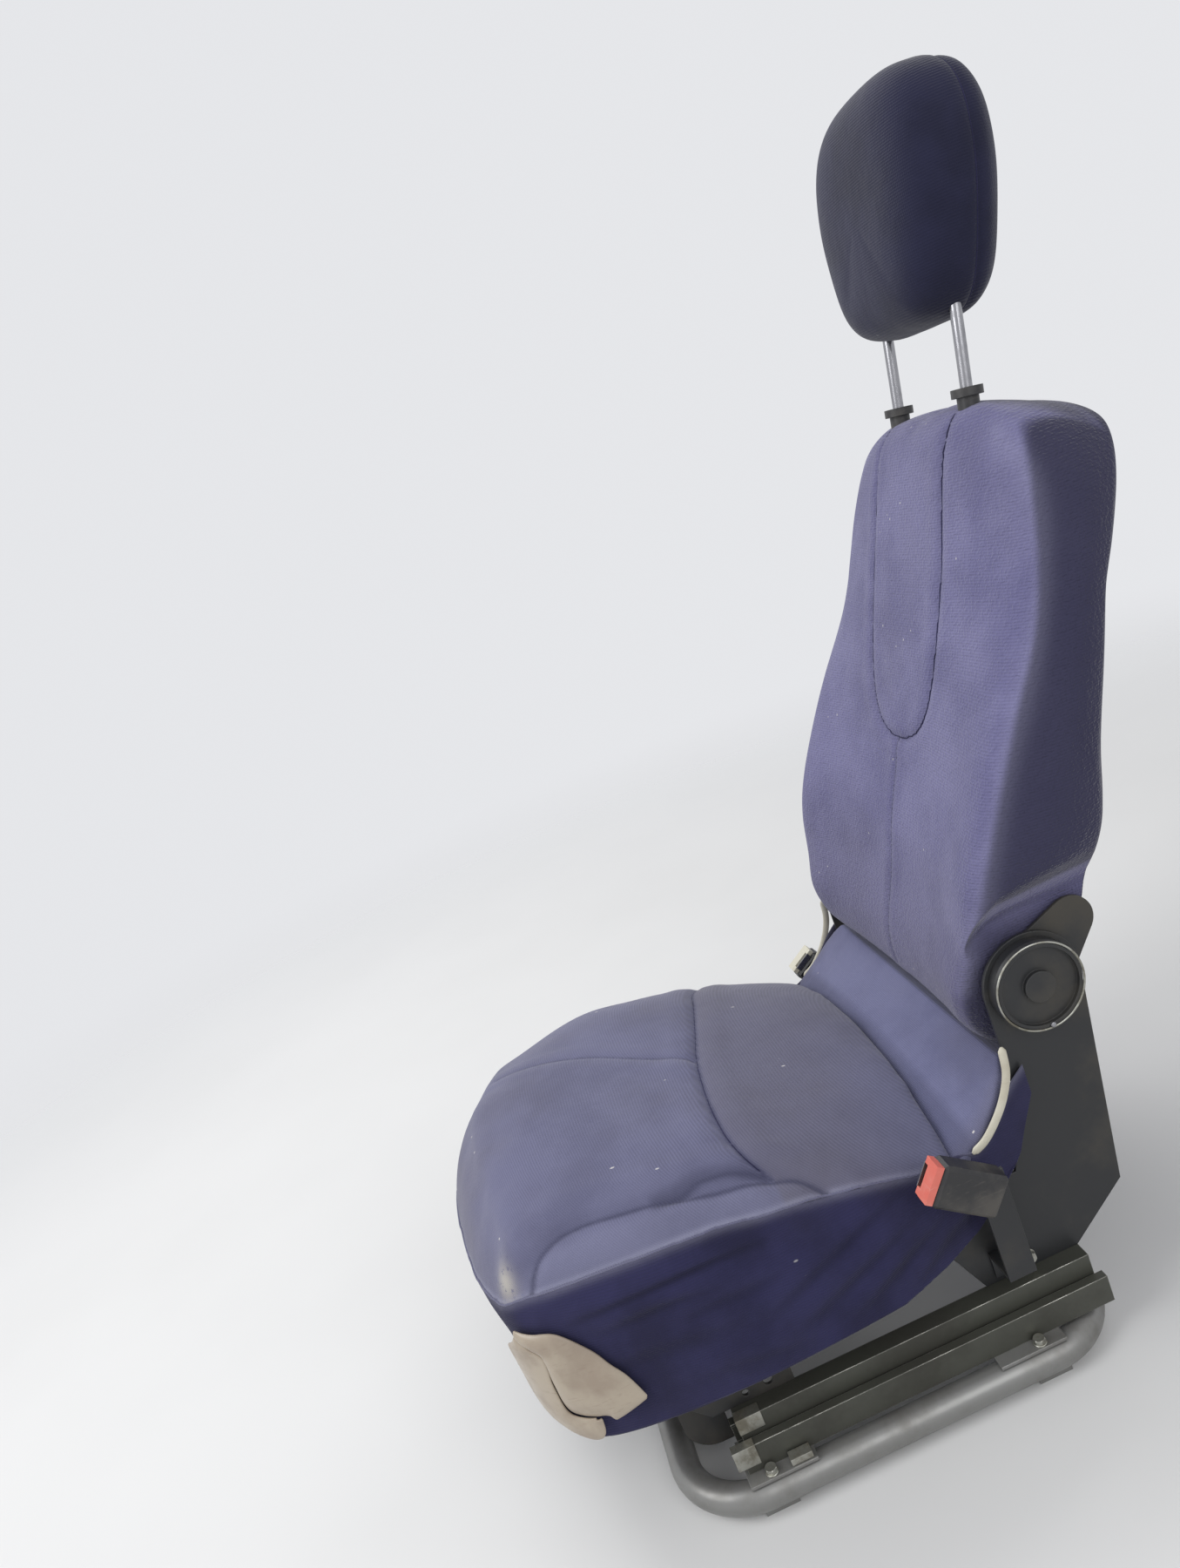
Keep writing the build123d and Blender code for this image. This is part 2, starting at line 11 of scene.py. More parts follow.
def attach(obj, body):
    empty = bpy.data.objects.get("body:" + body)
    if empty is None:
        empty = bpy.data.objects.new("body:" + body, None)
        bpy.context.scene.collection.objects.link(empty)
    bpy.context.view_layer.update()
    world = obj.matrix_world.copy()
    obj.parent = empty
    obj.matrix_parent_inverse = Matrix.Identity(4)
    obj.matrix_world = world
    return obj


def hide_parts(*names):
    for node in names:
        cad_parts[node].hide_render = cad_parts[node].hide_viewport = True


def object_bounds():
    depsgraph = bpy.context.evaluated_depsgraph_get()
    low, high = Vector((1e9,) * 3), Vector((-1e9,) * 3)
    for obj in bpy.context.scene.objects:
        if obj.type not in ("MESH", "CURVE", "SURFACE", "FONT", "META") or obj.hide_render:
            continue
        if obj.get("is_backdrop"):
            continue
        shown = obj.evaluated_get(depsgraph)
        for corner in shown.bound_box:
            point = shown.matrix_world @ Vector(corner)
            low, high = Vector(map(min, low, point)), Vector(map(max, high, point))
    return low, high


# The driver's seat of a light 4x4 car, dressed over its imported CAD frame.
# Metres, +X to the occupant's left, +Y rearwards, +Z up.

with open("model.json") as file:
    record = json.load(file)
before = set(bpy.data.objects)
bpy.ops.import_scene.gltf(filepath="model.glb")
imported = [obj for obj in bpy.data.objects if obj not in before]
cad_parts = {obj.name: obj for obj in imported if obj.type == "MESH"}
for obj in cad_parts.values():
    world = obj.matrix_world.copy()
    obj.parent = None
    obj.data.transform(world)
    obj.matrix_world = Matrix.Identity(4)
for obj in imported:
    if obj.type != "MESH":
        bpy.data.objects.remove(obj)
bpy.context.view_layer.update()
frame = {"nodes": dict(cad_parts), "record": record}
nodes = frame["nodes"]

MM = 0.001
scene = bpy.context.scene
SIDES = {1: "left", -1: "right"}


def metres(table):
    """A table of millimetres, in metres."""
    return np.array(table) / 1000


# Camera of the photograph, turned and widened a little so that the whole seat shows
CAMERA_AT = (0.973, -0.102, 0.808)
CAMERA_TURN = (74.995, 21.54, 80.253)
CAMERA_LENS = 25.8

# Cloth
RIB_PITCH = 2.2 * MM
STITCH_PITCH = 1.6 * MM
REMESH = 6 * MM
SIM_FRAMES = 20
SPREAD_ROUNDS = 16

# Cushion
PERIMETER_SIDE = metres((
    (200, 118, 204), (208, 75, 217), (219, 0, 242), (222, -55, 252), (224, -99, 260), (220, -150, 262),
    (215, -202, 263), (204, -240, 260), (184, -268, 251), (120, -292, 241),
))   # x, y, z from the rear to the nose
PERIMETER_NOSE = metres((0, -302, 238))
SEAM_POINTS = 400
SEAM_KNOTS = 51
SEAM_REACH = (0.012, 0.02)
CROSS_SEAM = metres((
    (-204, 12), (-151, -5), (-110, -12), (-49, -25), (14, -39), (78, -47), (131, -49), (169, -44),
    (191, -32),
))   # x, y on the top
BOLSTER_SEAM = metres((
    (202, -246), (199, -232), (191, -216), (186, -200), (185, -178), (187, -150), (188, -122), (191, -95),
    (193, -64), (194, -33), (198, -12), (208, 4),
))
FAR_SEAM = metres(((-100, -232), (-91, -209), (-77, -180), (-63, -154), (-44, -122), (-16, -82), (10, -41)))
FOLD_CREASE = metres(((188, -124), (186, -103), (181, -85), (181, -68), (184, -51), (188, -37)))
STAIN_AT = (0.19, -0.26, 0.272)
STAIN_REACH = (0.016, 0.01, 0.015)
SKIRT_Z = 0.117
# How far the front corners have sunk inwards, rearwards and down; the right one more, by use
NOSE_DRAW = {1: (0.014, -0.0026, 0.01), -1: (0.02, 0.0075, 0.018)}


def new_object(name, data):
    ob = bpy.data.objects.new(name, data)
    scene.collection.objects.link(ob)
    return ob


def point_rows(layer, key):
    """Vectors of a mesh's points, one row each."""
    values = np.empty(len(layer) * 3, np.float32)
    layer.foreach_get(key, values)
    return values.reshape(-1, 3).astype(float)


def point_cloud(ob):
    return point_rows(ob.data.vertices, "co")


def set_points(ob, co):
    ob.data.vertices.foreach_set("co", np.asarray(co, np.float32).ravel())
    ob.data.update()


def point_normals(ob):
    return point_rows(ob.data.vertex_normals, "vector")


def shade(mesh, smooth=True):
    mesh.polygons.foreach_set("use_smooth", [smooth] * len(mesh.polygons))


def mesh_piece(name, points, faces, smooth=True):
    mesh = bpy.data.meshes.new(name)
    mesh.from_pydata([tuple(p) for p in points], [], faces)
    mesh.validate()
    shade(mesh, smooth)
    return new_object(name, mesh)


def shifted(faces, by):
    return [tuple(k + by for k in face) for face in faces]


def tube_faces(rows, columns):
    """Faces of a tube over rings of points, with one face at each end."""
    ends = [tuple(range(columns - 1, -1, -1)), tuple(range((rows - 1) * columns, rows * columns))]
    return grid_faces(rows, columns, closed=True) + ends


def closed_loft(rings):
    """Points and faces of a solid through closed rings, with a fan of faces at each end."""
    columns = len(rings[0])
    faces = grid_faces(len(rings), columns, closed=True)
    points = np.vstack([*rings, rings[0].mean(axis=0), rings[-1].mean(axis=0)])
    tip = len(points) - 2
    last = tip - columns
    for c in range(columns):
        d = (c + 1) % columns
        faces += [(d, c, tip), (last + c, last + d, tip + 1)]
    return points, faces


def edit_mesh(ob, operation, part, **settings):
    """Runs one bmesh operation on all the verts or faces of a piece."""
    bm = bmesh.new()
    bm.from_mesh(ob.data)
    operation(bm, **{part: getattr(bm, part)}, **settings)
    bm.to_mesh(ob.data)
    bm.free()


def between(a, b, c, d, t):
    """Catmull-Rom place from b to c."""
    return 0.5 * (2 * b + (c - a) * t + (2 * a - 5 * b + 4 * c - d) * t ** 2
                  + (3 * b - 3 * c + d - a) * t ** 3)


def run_along(line):
    """Distance of each point from the start of a line."""
    return np.concatenate([[0], np.cumsum(norm(np.diff(line, axis=0), axis=1))])


def places_on(line, run, at):
    """Points of a line where its run has the values at."""
    return np.column_stack([np.interp(at, run, line[:, k]) for k in range(line.shape[1])])


def grid_faces(rows, columns, closed=False):
    """Quads over rows of points; closed joins the last column to the first."""
    faces = []
    for r in range(rows - 1):
        for c in range(columns if closed else columns - 1):
            d = (c + 1) % columns
            faces.append((r * columns + c, r * columns + d, (r + 1) * columns + d, (r + 1) * columns + c))
    return faces


def apply_modifiers(ob):
    bpy.context.view_layer.update()
    evaluated = ob.evaluated_get(bpy.context.evaluated_depsgraph_get())
    mesh = bpy.data.meshes.new_from_object(evaluated)
    ob.modifiers.clear()
    ob.data = mesh


def modifier(ob, kind, **settings):
    mod = ob.modifiers.new(kind.title(), kind)
    for key, value in settings.items():
        setattr(mod, key, value)
    return mod


def smooth_line(points, count):
    """Catmull-Rom line through the points, evenly spaced."""
    p = np.array(points, float)
    p = np.vstack([2 * p[0] - p[1], p, 2 * p[-1] - p[-2]])
    steps = np.linspace(0, 1, 24, endpoint=False)
    line = np.array([between(*p[i - 1:i + 3], t) for i in range(1, len(p) - 2) for t in steps] + [p[-2]])
    run = run_along(line)
    return places_on(line, run, np.linspace(0, run[-1], count))


def mirrored(points):
    """The points on the other side, in the other order."""
    return [(-x, *rest) for x, *rest in reversed(points)]


def distance_to(line, co):
    """Distance of each point to a dense line, and the index of its nearest place."""
    best = np.full(len(co), 1e9)
    index = np.zeros(len(co), int)
    for i, q in enumerate(line):
        d = norm(co - q, axis=1)
        near = d < best
        best[near] = d[near]
        index[near] = i
    return best, index


def spread(ob, step):
    """Averages a move over neighbouring points, so that it leaves no small wrinkles."""
    ends = np.empty(len(ob.data.edges) * 2, np.int32)
    ob.data.edges.foreach_get("vertices", ends)
    a, b = ends.reshape(-1, 2).T
    count = np.maximum(np.bincount(ends, minlength=len(step)), 1)
    for _ in range(SPREAD_ROUNDS):
        for k in range(3):
            total = np.bincount(a, step[b, k], len(step)) + np.bincount(b, step[a, k], len(step))
            step[:, k] = 0.5 * (step[:, k] + total / count)
    return step


def subdivide(ob):
    modifier(ob, "SUBSURF", levels=1, render_levels=1)
    apply_modifiers(ob)
    shade(ob.data)


def puff(ob, pressure, cap, hold=None):
    """Swells the piece by a short cloth simulation; no point moves further than cap."""
    start = point_cloud(ob)
    settings = modifier(ob, "CLOTH").settings
    settings.use_pressure = True
    settings.uniform_pressure_force = pressure
    settings.effector_weights.gravity = 0
    settings.quality = 4
    settings.tension_stiffness = 12
    settings.compression_stiffness = 12
    settings.bending_stiffness = 1.5
    for number in range(1, SIM_FRAMES + 1):
        scene.frame_set(number)
    step = point_cloud(ob.evaluated_get(bpy.context.evaluated_depsgraph_get())) - start
    ob.modifiers.clear()
    scene.frame_set(1)
    size = norm(step, axis=1, keepdims=True)
    step = spread(ob, step * np.minimum(1, cap / np.maximum(size, 1e-9)))
    if hold is not None:
        step *= hold(start)[:, None]
    set_points(ob, start + step)
    subdivide(ob)


def shrink(ob, amount):
    """Moves the points in along their normals, so that the pad can swell again."""
    set_points(ob, point_cloud(ob) - point_normals(ob) * amount)


def bell(distance, width):
    """1 at no distance, fading out over a width in mm."""
    return np.exp(-(distance / (width * MM)) ** 2)


def relax(grid, rounds):
    """Evens out the places of a grid, along its rows and then along its columns."""
    for _ in range(rounds):
        grid[:, 1:-1] = 0.25 * (grid[:, :-2] + grid[:, 2:]) + 0.5 * grid[:, 1:-1]
        grid[1:-1] = 0.25 * (grid[:-2] + grid[2:]) + 0.5 * grid[1:-1]


def ramp(value, low, high):
    """Smooth step from 0 at low to 1 at high."""
    t = np.clip((value - low) / (high - low), 0, 1)
    return t * t * (3 - 2 * t)


def draw_in(co):
    """Rounds the front corners of the seat off, inwards and down."""
    co = np.array(co, float)
    for side, (inward, back, down) in NOSE_DRAW.items():
        share = ramp(side * co[:, 0], 0.01, 0.17) * ramp(-co[:, 1], 0.1, 0.25) * ramp(co[:, 2], 0.02, 0.2)
        co += share[:, None] * (-side * inward, back, -down)
    return co


def groove(ob, line, width, depth, swell=0.0, keep=1.0, plan=False):
    """Presses a seam into a pad along a line, and lifts the padding a little beside it; sizes in mm."""
    co = point_cloud(ob)
    no = point_normals(ob)
    if plan:
        near = distance_to(line[:, :2], co[:, :2])[0]
        keep = np.clip((no[:, 2] - 0.1) / 0.4, 0, 1) * keep
    else:
        near = distance_to(line, co)[0]
    rise = swell * bell(near - 4 * width * MM, 2.2 * width) - depth * bell(near, width)
    set_points(ob, co + no * (rise * MM * keep)[:, None])


def surface_tree(ob):
    mesh = ob.data
    return BVHTree.FromPolygons([v.co for v in mesh.vertices], [tuple(f.vertices) for f in mesh.polygons])


def drop_on(tree, line, sink):
    """Line in plan laid on a pad from above, sunk by a little."""
    hits = [tree.ray_cast(Vector((x, y, 1.0)), Vector((0, 0, -1))) for x, y in line]
    return np.array([hit - normal * sink for hit, normal, _, _ in hits if hit is not None])


def snap_to(tree, line, sink=0.0):
    """Line laid on the surface where that is nearest, sunk by a little."""
    hits = [tree.find_nearest(Vector(p)) for p in line]
    return np.array([hit - normal * sink for hit, normal, _, _ in hits])


def fit(ob, material, body):
    ob.data.materials.append(material)
    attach(ob, body)


def thread(name, points, radius, material, body, closed=False):
    """Round cord of cloth or thread along points."""
    curve = bpy.data.curves.new(name, "CURVE")
    curve.dimensions = "3D"
    curve.bevel_depth = radius
    curve.bevel_resolution = 2
    curve.use_fill_caps = not closed
    spline = curve.splines.new("POLY")
    spline.points.add(len(points) - 1)
    for place, p in zip(spline.points, points):
        place.co = (*p, 1)
    spline.use_cyclic_u = closed
    fit(new_object(name, curve), material, body)


# Materials


class Nodes:
    """Builds shader nodes in a tree."""

    def __init__(self, tree):
        self.tree = tree

    def feed(self, made, socket, value):
        if hasattr(value, "links"):
            self.tree.links.new(value, made.inputs[socket])
        else:
            made.inputs[socket].default_value = value

    def node(self, kind, *values, **inputs):
        """New node, its inputs fed in order or by name."""
        made = self.tree.nodes.new("ShaderNode" + kind)
        for socket, value in enumerate(values):
            self.feed(made, socket, value)
        for key, value in inputs.items():
            self.feed(made, key.replace("_", " ").title(), value)
        return made

    def math(self, operation, *values, kind="Math"):
        made = self.node(kind, *values)
        made.operation = operation
        return made.outputs["Value"]

    def add(self, a, b):
        return self.math("ADD", a, b)

    def times(self, a, b):
        return self.math("MULTIPLY", a, b)

    def band(self, value, low, high):
        """Smooth step from 0 at low to 1 at high."""
        made = self.node("MapRange", value=value, from_min=low, from_max=high)
        made.interpolation_type = "SMOOTHSTEP"
        return made.outputs["Result"]


class Look(Nodes):
    """Material with a principled surface."""

    def __init__(self, name):
        self.material = bpy.data.materials.new(name)
        self.material.use_nodes = True
        super().__init__(self.material.node_tree)
        self.bsdf = self.tree.nodes["Principled BSDF"]
        self.place = self.node("TexCoord").outputs["Object"]

    def stretched(self, factors):
        return self.node("Mapping", vector=self.place, scale=factors).outputs["Vector"]

    def noise(self, scale, detail=4.0, roughness=0.55, place=None):
        place = place or self.place
        made = self.node("TexNoise", vector=place, scale=scale, detail=detail, roughness=roughness)
        return made.outputs["Fac"]

    def mix(self, amount, a, b):
        made = self.node("Mix", amount)
        made.data_type = "RGBA"
        self.feed(made, 6, a)
        self.feed(made, 7, b)
        return made.outputs[2]

    def attribute(self, name):
        made = self.node("Attribute")
        made.attribute_name = name
        return made.outputs["Fac"]

    def bump(self, height, strength, distance, below=None):
        made = self.node("Bump", strength=strength, distance=distance, height=height)
        if below is not None:
            self.feed(made, "Normal", below)
        return made.outputs["Normal"]

    def set(self, **inputs):
        for key, value in inputs.items():
            self.feed(self.bsdf, key.replace("_", " ").title(), value)
        return self.material


def rgb(*display):
    """Linear colour from display values of 11 to 255."""
    return tuple(((c / 255 + 0.055) / 1.055) ** 2.4 for c in display) + (1.0,)


# What the knit's colours are mixed towards: the darker side and rear panels with painted shade, painted shade
# in seams and creases, the gaps between ribs, a paler tone for rubbed wear with painted sheen, lint and a
# stain
DEEP_SHADE = (0.006, 0.006, 0.014, 1)
DEEP_PRESS = (0.006, 0.006, 0.018, 1)
RIB_GAP = (0.02, 0.02, 0.035, 1)
RUBBED = (0.55, 0.55, 0.66, 1)
LINT = (0.62, 0.6, 0.58, 1)
STAIN = rgb(206, 200, 184)
LINT_SCALE = 62
LINT_RARE = (0.67, 0.69)
LINT_SIZE = (0.075, 0.045)


def knit(name, colour, shade, dirt, rib_axis, dirt_amount=0.5, lint=0.5, pilling=0.0, sheen=0.25):
    """Ribbed knit: fine ribs, soft mottling, soiling and painted shade, lint, pilling, paler rubbed seams
    with painted sheen, and painted shade in seams, creases and on darker panels.
    """
    s = Look(name)
    x, y, z = s.node("SeparateXYZ", s.place).outputs
    wobble = s.times(s.noise(9, 2), 0.004)
    along = s.add(s.add(s.times(y, rib_axis[0]), s.times(z, rib_axis[1])), wobble)
    rib = s.math("SINE", s.times(along, 2 * pi / RIB_PITCH))
    cross = s.math("SINE", s.times(s.add(x, s.times(rib, 0.0003)), 2 * pi / STITCH_PITCH))
    weave = s.add(s.times(rib, 0.6), s.times(cross, 0.25))
    patches = s.band(s.noise(5.5, 6, 0.62), 0.4, 0.74)
    base = s.mix(s.band(s.noise(14, 5), 0.35, 0.7), colour, shade)
    # Soiling: random patches, plus a painted weight that is real soil in places and painted shade in others,
    # such as low on the backrest
    soil = s.add(s.times(patches, dirt_amount * 0.5), s.times(s.attribute("soil"), 0.8))
    soiled = s.mix(s.math("MINIMUM", soil, 0.9), base, dirt)
    # Side and rear panels of the backrest: their own darker cloth, plus painted shade
    darker = s.mix(s.attribute("dark"), soiled, s.mix(0.85, shade, DEEP_SHADE))
    ribbed = s.mix(s.band(rib, -1.3, 1.3), s.mix(0.18, darker, RIB_GAP), darker)
    # Paler where rubbed, with painted sheen along edges and ridges
    rubbed = s.mix(s.attribute("rub"), ribbed, s.mix(0.45, colour, RUBBED))
    # Painted shade in seams, creases and the valleys of folds
    pressed = s.mix(s.attribute("press"), rubbed, s.mix(0.7, shade, DEEP_PRESS))
    specks = s.node("TexVoronoi", vector=s.stretched((1.0, 0.45, 1.0)), scale=LINT_SCALE).outputs
    flecks = s.times(s.band(specks["Color"], *LINT_RARE), s.band(specks["Distance"], *LINT_SIZE))
    flecked = s.mix(s.times(flecks, lint), pressed, LINT)
    stained = s.mix(s.times(s.attribute("stain"), s.band(s.noise(160, 3), 0.32, 0.42)), flecked, STAIN)
    soft = s.bump(s.noise(34, 3), 0.25, 0.004, s.bump(weave, 0.3, 0.0006))
    if pilling:
        soft = s.bump(s.band(s.noise(330, 1), 0.42, 0.66), pilling, 0.0009, soft)
    s.bsdf.inputs["Specular IOR Level"].default_value = 0.2
    return s.set(base_color=stained, roughness=0.92, sheen_weight=sheen, sheen_roughness=0.4,
                 normal=s.bump(s.noise(900, 3), 0.35, 0.0006, soft))


def moulded(name, colour, dust, rough):
    """Moulded plastic with a fine grain, scuffs and dust."""
    s = Look(name)
    blotch = s.band(s.noise(22, 6), 0.42, 0.68)
    scuff = s.band(s.noise(60, 4, 0.7, s.stretched((1, 1, 6))), 0.56, 0.7)
    base = s.mix(s.times(blotch, 0.6), colour, dust)
    return s.set(base_color=s.mix(s.times(scuff, 0.35), base, dust),
                 roughness=s.add(rough, s.times(blotch, 0.18)), normal=s.bump(s.noise(420, 3), 0.25, 0.0004))


def painted(name, colour, worn, grime, rough, metallic, wear=0.5):
    """Paint over steel, rubbed on the edges, with grime in patches."""
    s = Look(name)
    rounded = s.node("Bevel", radius=0.0012).outputs[0]
    flat = s.node("NewGeometry").outputs["Normal"]
    alike = s.math("DOT_PRODUCT", rounded, flat, kind="VectorMath")
    edge = s.band(s.math("SUBTRACT", 1.0, alike), 0.02, 0.25)
    patch = s.band(s.noise(30, 6, 0.65), 0.46, 0.66)
    stain = s.band(s.noise(9, 7, 0.6), 0.45, 0.68)
    base = s.mix(s.times(stain, 0.75), colour, grime)
    bare = s.times(s.times(edge, s.add(0.35, s.times(patch, 0.65))), wear)
    return s.set(base_color=s.mix(bare, base, worn), metallic=s.math("MAXIMUM", bare, metallic),
                 roughness=s.add(rough, s.times(stain, 0.25)),
                 normal=s.bump(s.noise(260, 4), 0.12, 0.0005, rounded))


def steel(name, colour, dull, rough=0.35):
    """Bare or plated steel with a dull bloom."""
    s = Look(name)
    bloom = s.band(s.noise(45, 6, 0.6), 0.42, 0.66)
    return s.set(base_color=s.mix(bloom, colour, dull), metallic=0.9,
                 roughness=s.add(rough, s.times(bloom, 0.3)), normal=s.bump(s.noise(180, 2), 0.05, 0.0002))


SEAT_CLOTH = knit("seat cloth", rgb(117, 119, 152), rgb(102, 104, 136), rgb(100, 97, 108), (1, 1), 0.5, 0.9)
BACK_CLOTH = knit("back cloth", rgb(122, 120, 158), rgb(105, 103, 142), rgb(92, 89, 106), (0, 1),
                  0.4, 0.6, pilling=0.55)
SKIRT_CLOTH = knit("skirt cloth", rgb(49, 48, 82), rgb(37, 36, 63), rgb(57, 55, 68), (0, 1),
                   0.45, 0.4, sheen=0.08)
# Headrest cloth: its own dark navy, made darker still as painted shade
HEAD_CLOTH = knit("headrest cloth", rgb(38, 39, 63), rgb(30, 31, 51), rgb(46, 45, 57), (0, 1), 0.3, 0.2)
SEAM_CLOTH = knit("seam thread", rgb(114, 114, 138), rgb(101, 101, 126), rgb(98, 96, 106), (1, 1), 0.3, 0.0)
CAP = moulded("cap plastic", rgb(172, 160, 143), rgb(138, 122, 108), 0.28)
STRIP = moulded("strip plastic", rgb(208, 204, 187), rgb(176, 168, 148), 0.5)
BUTTON = moulded("button plastic", rgb(216, 112, 98), rgb(222, 164, 152), 0.4)
PLATED = steel("zinc plate", rgb(176, 176, 168), rgb(122, 118, 106))
CHROME = steel("chrome", rgb(158, 158, 162), rgb(140, 140, 144), 0.16)

BY_SLOT = {
    "seat_cloth": SEAT_CLOTH, "skirt_cloth": SKIRT_CLOTH, "headrest_cloth": HEAD_CLOTH, "cap_plastic": CAP,
    "strip_plastic": STRIP, "button_plastic": BUTTON, "plated_steel": PLATED, "post_chrome": CHROME,
    "black_plastic": moulded("black plastic", rgb(38, 38, 40), rgb(92, 88, 82), 0.42),
    "frame_paint": painted("frame paint", rgb(136, 136, 134), rgb(190, 189, 185), rgb(96, 92, 85),
                           0.34, 0.45),
    "rail_paint": painted("rail paint", rgb(74, 75, 68), rgb(214, 212, 204), rgb(57, 56, 50), 0.4, 0.25, 1.0),
    "black_paint": painted("black paint", rgb(40, 41, 43), rgb(120, 120, 118), rgb(74, 70, 62), 0.45, 0.1),
}

for part in frame["record"]["subparts"]:
    ob = nodes[part["node"]]
    ob.data.materials.clear()
    ob.data.materials.append(BY_SLOT[part["material_slot"]])


def dress(ob, material, slot, body, *replaced):
    ob.data.materials.append(material)
    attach(ob, body)
    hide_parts(*replaced)


def paint(ob, **weights):
    """Stores weights of 0 to 1 on the points for the material, one layer each."""
    for name, values in weights.items():
        layer = ob.data.attributes.new(name, "FLOAT", "POINT")
        layer.data.foreach_set("value", np.clip(values, 0, 1).astype(np.float32))


# Cushion


def sewn_line(tree, before=()):
    """The perimeter seam, drawn onto the cushion wherever it passes near it."""
    left = [*before, *PERIMETER_SIDE]
    line = smooth_line([*left, PERIMETER_NOSE, *mirrored(left)], SEAM_POINTS)
    for k, at in enumerate(line):
        hit, _, _, away = tree.find_nearest(Vector(at))
        line[k] += (np.array(hit) - at) * (1 - ramp(away, *SEAM_REACH))
    return smooth_line(line[np.linspace(0, SEAM_POINTS - 1, SEAM_KNOTS).astype(int)], SEAM_POINTS)


def cushion():
    ob = new_object("seat_cushion", nodes["cushion"].data.copy())
    ob.data.materials.clear()
    edit_mesh(ob, bmesh.ops.remove_doubles, "verts", dist=0.02 * MM)
    modifier(ob, "REMESH", mode="VOXEL", voxel_size=REMESH)
    modifier(ob, "SMOOTH", factor=0.6, iterations=6)
    apply_modifiers(ob)
    shrink(ob, 3 * MM)
    puff(ob, 3.0, 5 * MM, lambda co: np.clip((co[:, 2] - 0.18) / 0.03, 0, 1))
    cross = smooth_line(CROSS_SEAM, 200)
    bolster = smooth_line(BOLSTER_SEAM, 160)
    far = smooth_line(FAR_SEAM, 100)
    fold = smooth_line(FOLD_CREASE, 120)
    inside = ramp(-np.abs(point_cloud(ob)[:, 0]), -0.212, -0.185)
    groove(ob, cross, 5, 3.4, 1.6, inside, plan=True)
    groove(ob, bolster, 6, 3.6, 2.4, plan=True)
    groove(ob, far, 4, 1.4, 0.6, plan=True)
    place = distance_to(fold[:, :2], point_cloud(ob)[:, :2])[1]
    groove(ob, fold, 5, 4.6, keep=np.sin(pi * (place + 0.5) / len(fold)) ** 0.6, plan=True)
    edge = sewn_line(surface_tree(ob))
    groove(ob, edge, 2.5, -0.8)
    co = point_cloud(ob)
    # Painted shade along the seams and in the fold crease
    press = np.zeros(len(co))
    strengths = ((cross, 0.95, 2.2), (bolster, 0.75, 2.4), (far, 0.65, 1.5), (fold, 0.75, 4.5))
    for line, strength, width in strengths:
        near = distance_to(line[:, :2], co[:, :2])[0]
        press = np.maximum(press, strength * bell(near, width))
    near = distance_to(edge, co)[0]
    on_bolster = ramp(np.abs(co[:, 0]), 0.19, 0.2) * ramp(-co[:, 1], 0.0, 0.04)
    cross_y = np.interp(co[:, 0], cross[:, 0], cross[:, 1])
    behind = np.clip((co[:, 1] - cross_y) / 0.004, 0, 1)
    front_edge = np.clip((-0.24 - co[:, 1]) / 0.05, 0, 1)
    near_rear = ramp(co[:, 1], 0.02, 0.12) * ramp(co[:, 0], -0.05, 0.15)
    away = norm((co - STAIN_AT) / STAIN_REACH, axis=1)
    # Paler rubbed edge and bolster, partly painted sheen; darker behind the cross seam and at the front edge,
    # less dark at the rear of the near side
    paint(ob, press=press, rub=0.55 * bell(near, 3.5) + 0.1 * on_bolster, stain=np.exp(-away ** 2),
          soil=0.38 + 0.42 * behind + 0.15 * front_edge - 0.42 * near_rear)
    tree = surface_tree(ob)
    thread("cushion_cross_seam", drop_on(tree, cross[6:-4], 0.5 * MM), 0.7 * MM, SKIRT_CLOTH, "seat")
    thread("cushion_welt", draw_in(snap_to(tree, edge, -0.6 * MM)), 1.0 * MM, SEAM_CLOTH, "seat")
    dress(ob, SEAT_CLOTH, "seat_cloth", "seat", "cushion")
    return ob


# Skirt: the cloth panel from the cushion's perimeter seam to the hem

SKIRT_TOP_OUT = 1.3 * MM
SKIRT_ROWS = 60
SKIRT_COLUMNS = 480
WALL_LOW = 0.18
WALL_REACH = 0.018
GUSSET = metres(((196.5, 190, 260), (197, 170, 244), (198.5, 145, 219)))   # beside the flap
SKIRT_PLAN = metres((
    (196.5, 190), (198.5, 155), (205, 110), (212.5, 50), (218.5, -20), (221.5, -90), (220, -150),
    (214, -205), (203, -238), (180, -262), (140, -276), (70, -288),
))   # x, y of the hem's line on the left, from the rear to the nose
SKIRT_NOSE = metres((0, -291))
# The cushion's inner rectangle, away from which the skirt stands
INNER_X = 0.12
INNER_Y = (-0.19, 0.05)
HEM_RISE = metres(((-1000, 0), (30, 0), (75, 12), (110, 26), (135, 42), (160, 70), (190, 116)))
# Pulled folds: y and z of the start and of the end, height of the fold, width
FOLDS = metres((
    (-225, 238, -50, 236, 6.4, 6),
    (-205, 221, -75, 214, 5.0, 7),
    (-185, 200, -20, 202, 4.0, 9),
    (-215, 188, -90, 180, 3.4, 10),
    (-85, 172, 75, 222, 5.4, 10),
    (-75, 145, 112, 206, 6.0, 11),
    (-20, 132, 122, 192, 5.8, 10),
    (35, 128, 126, 178, 4.6, 9),
    (-150, 150, -40, 132, 3.2, 10),
))
FOLD_BEND = 0.006


def outward(x, y):
    """Direction away from the cushion's inner rectangle."""
    dx = x - np.clip(x, -INNER_X, INNER_X)
    dy = y - np.clip(y, *INNER_Y)
    size = np.maximum(np.hypot(dx, dy), 1e-6)
    return dx / size, dy / size


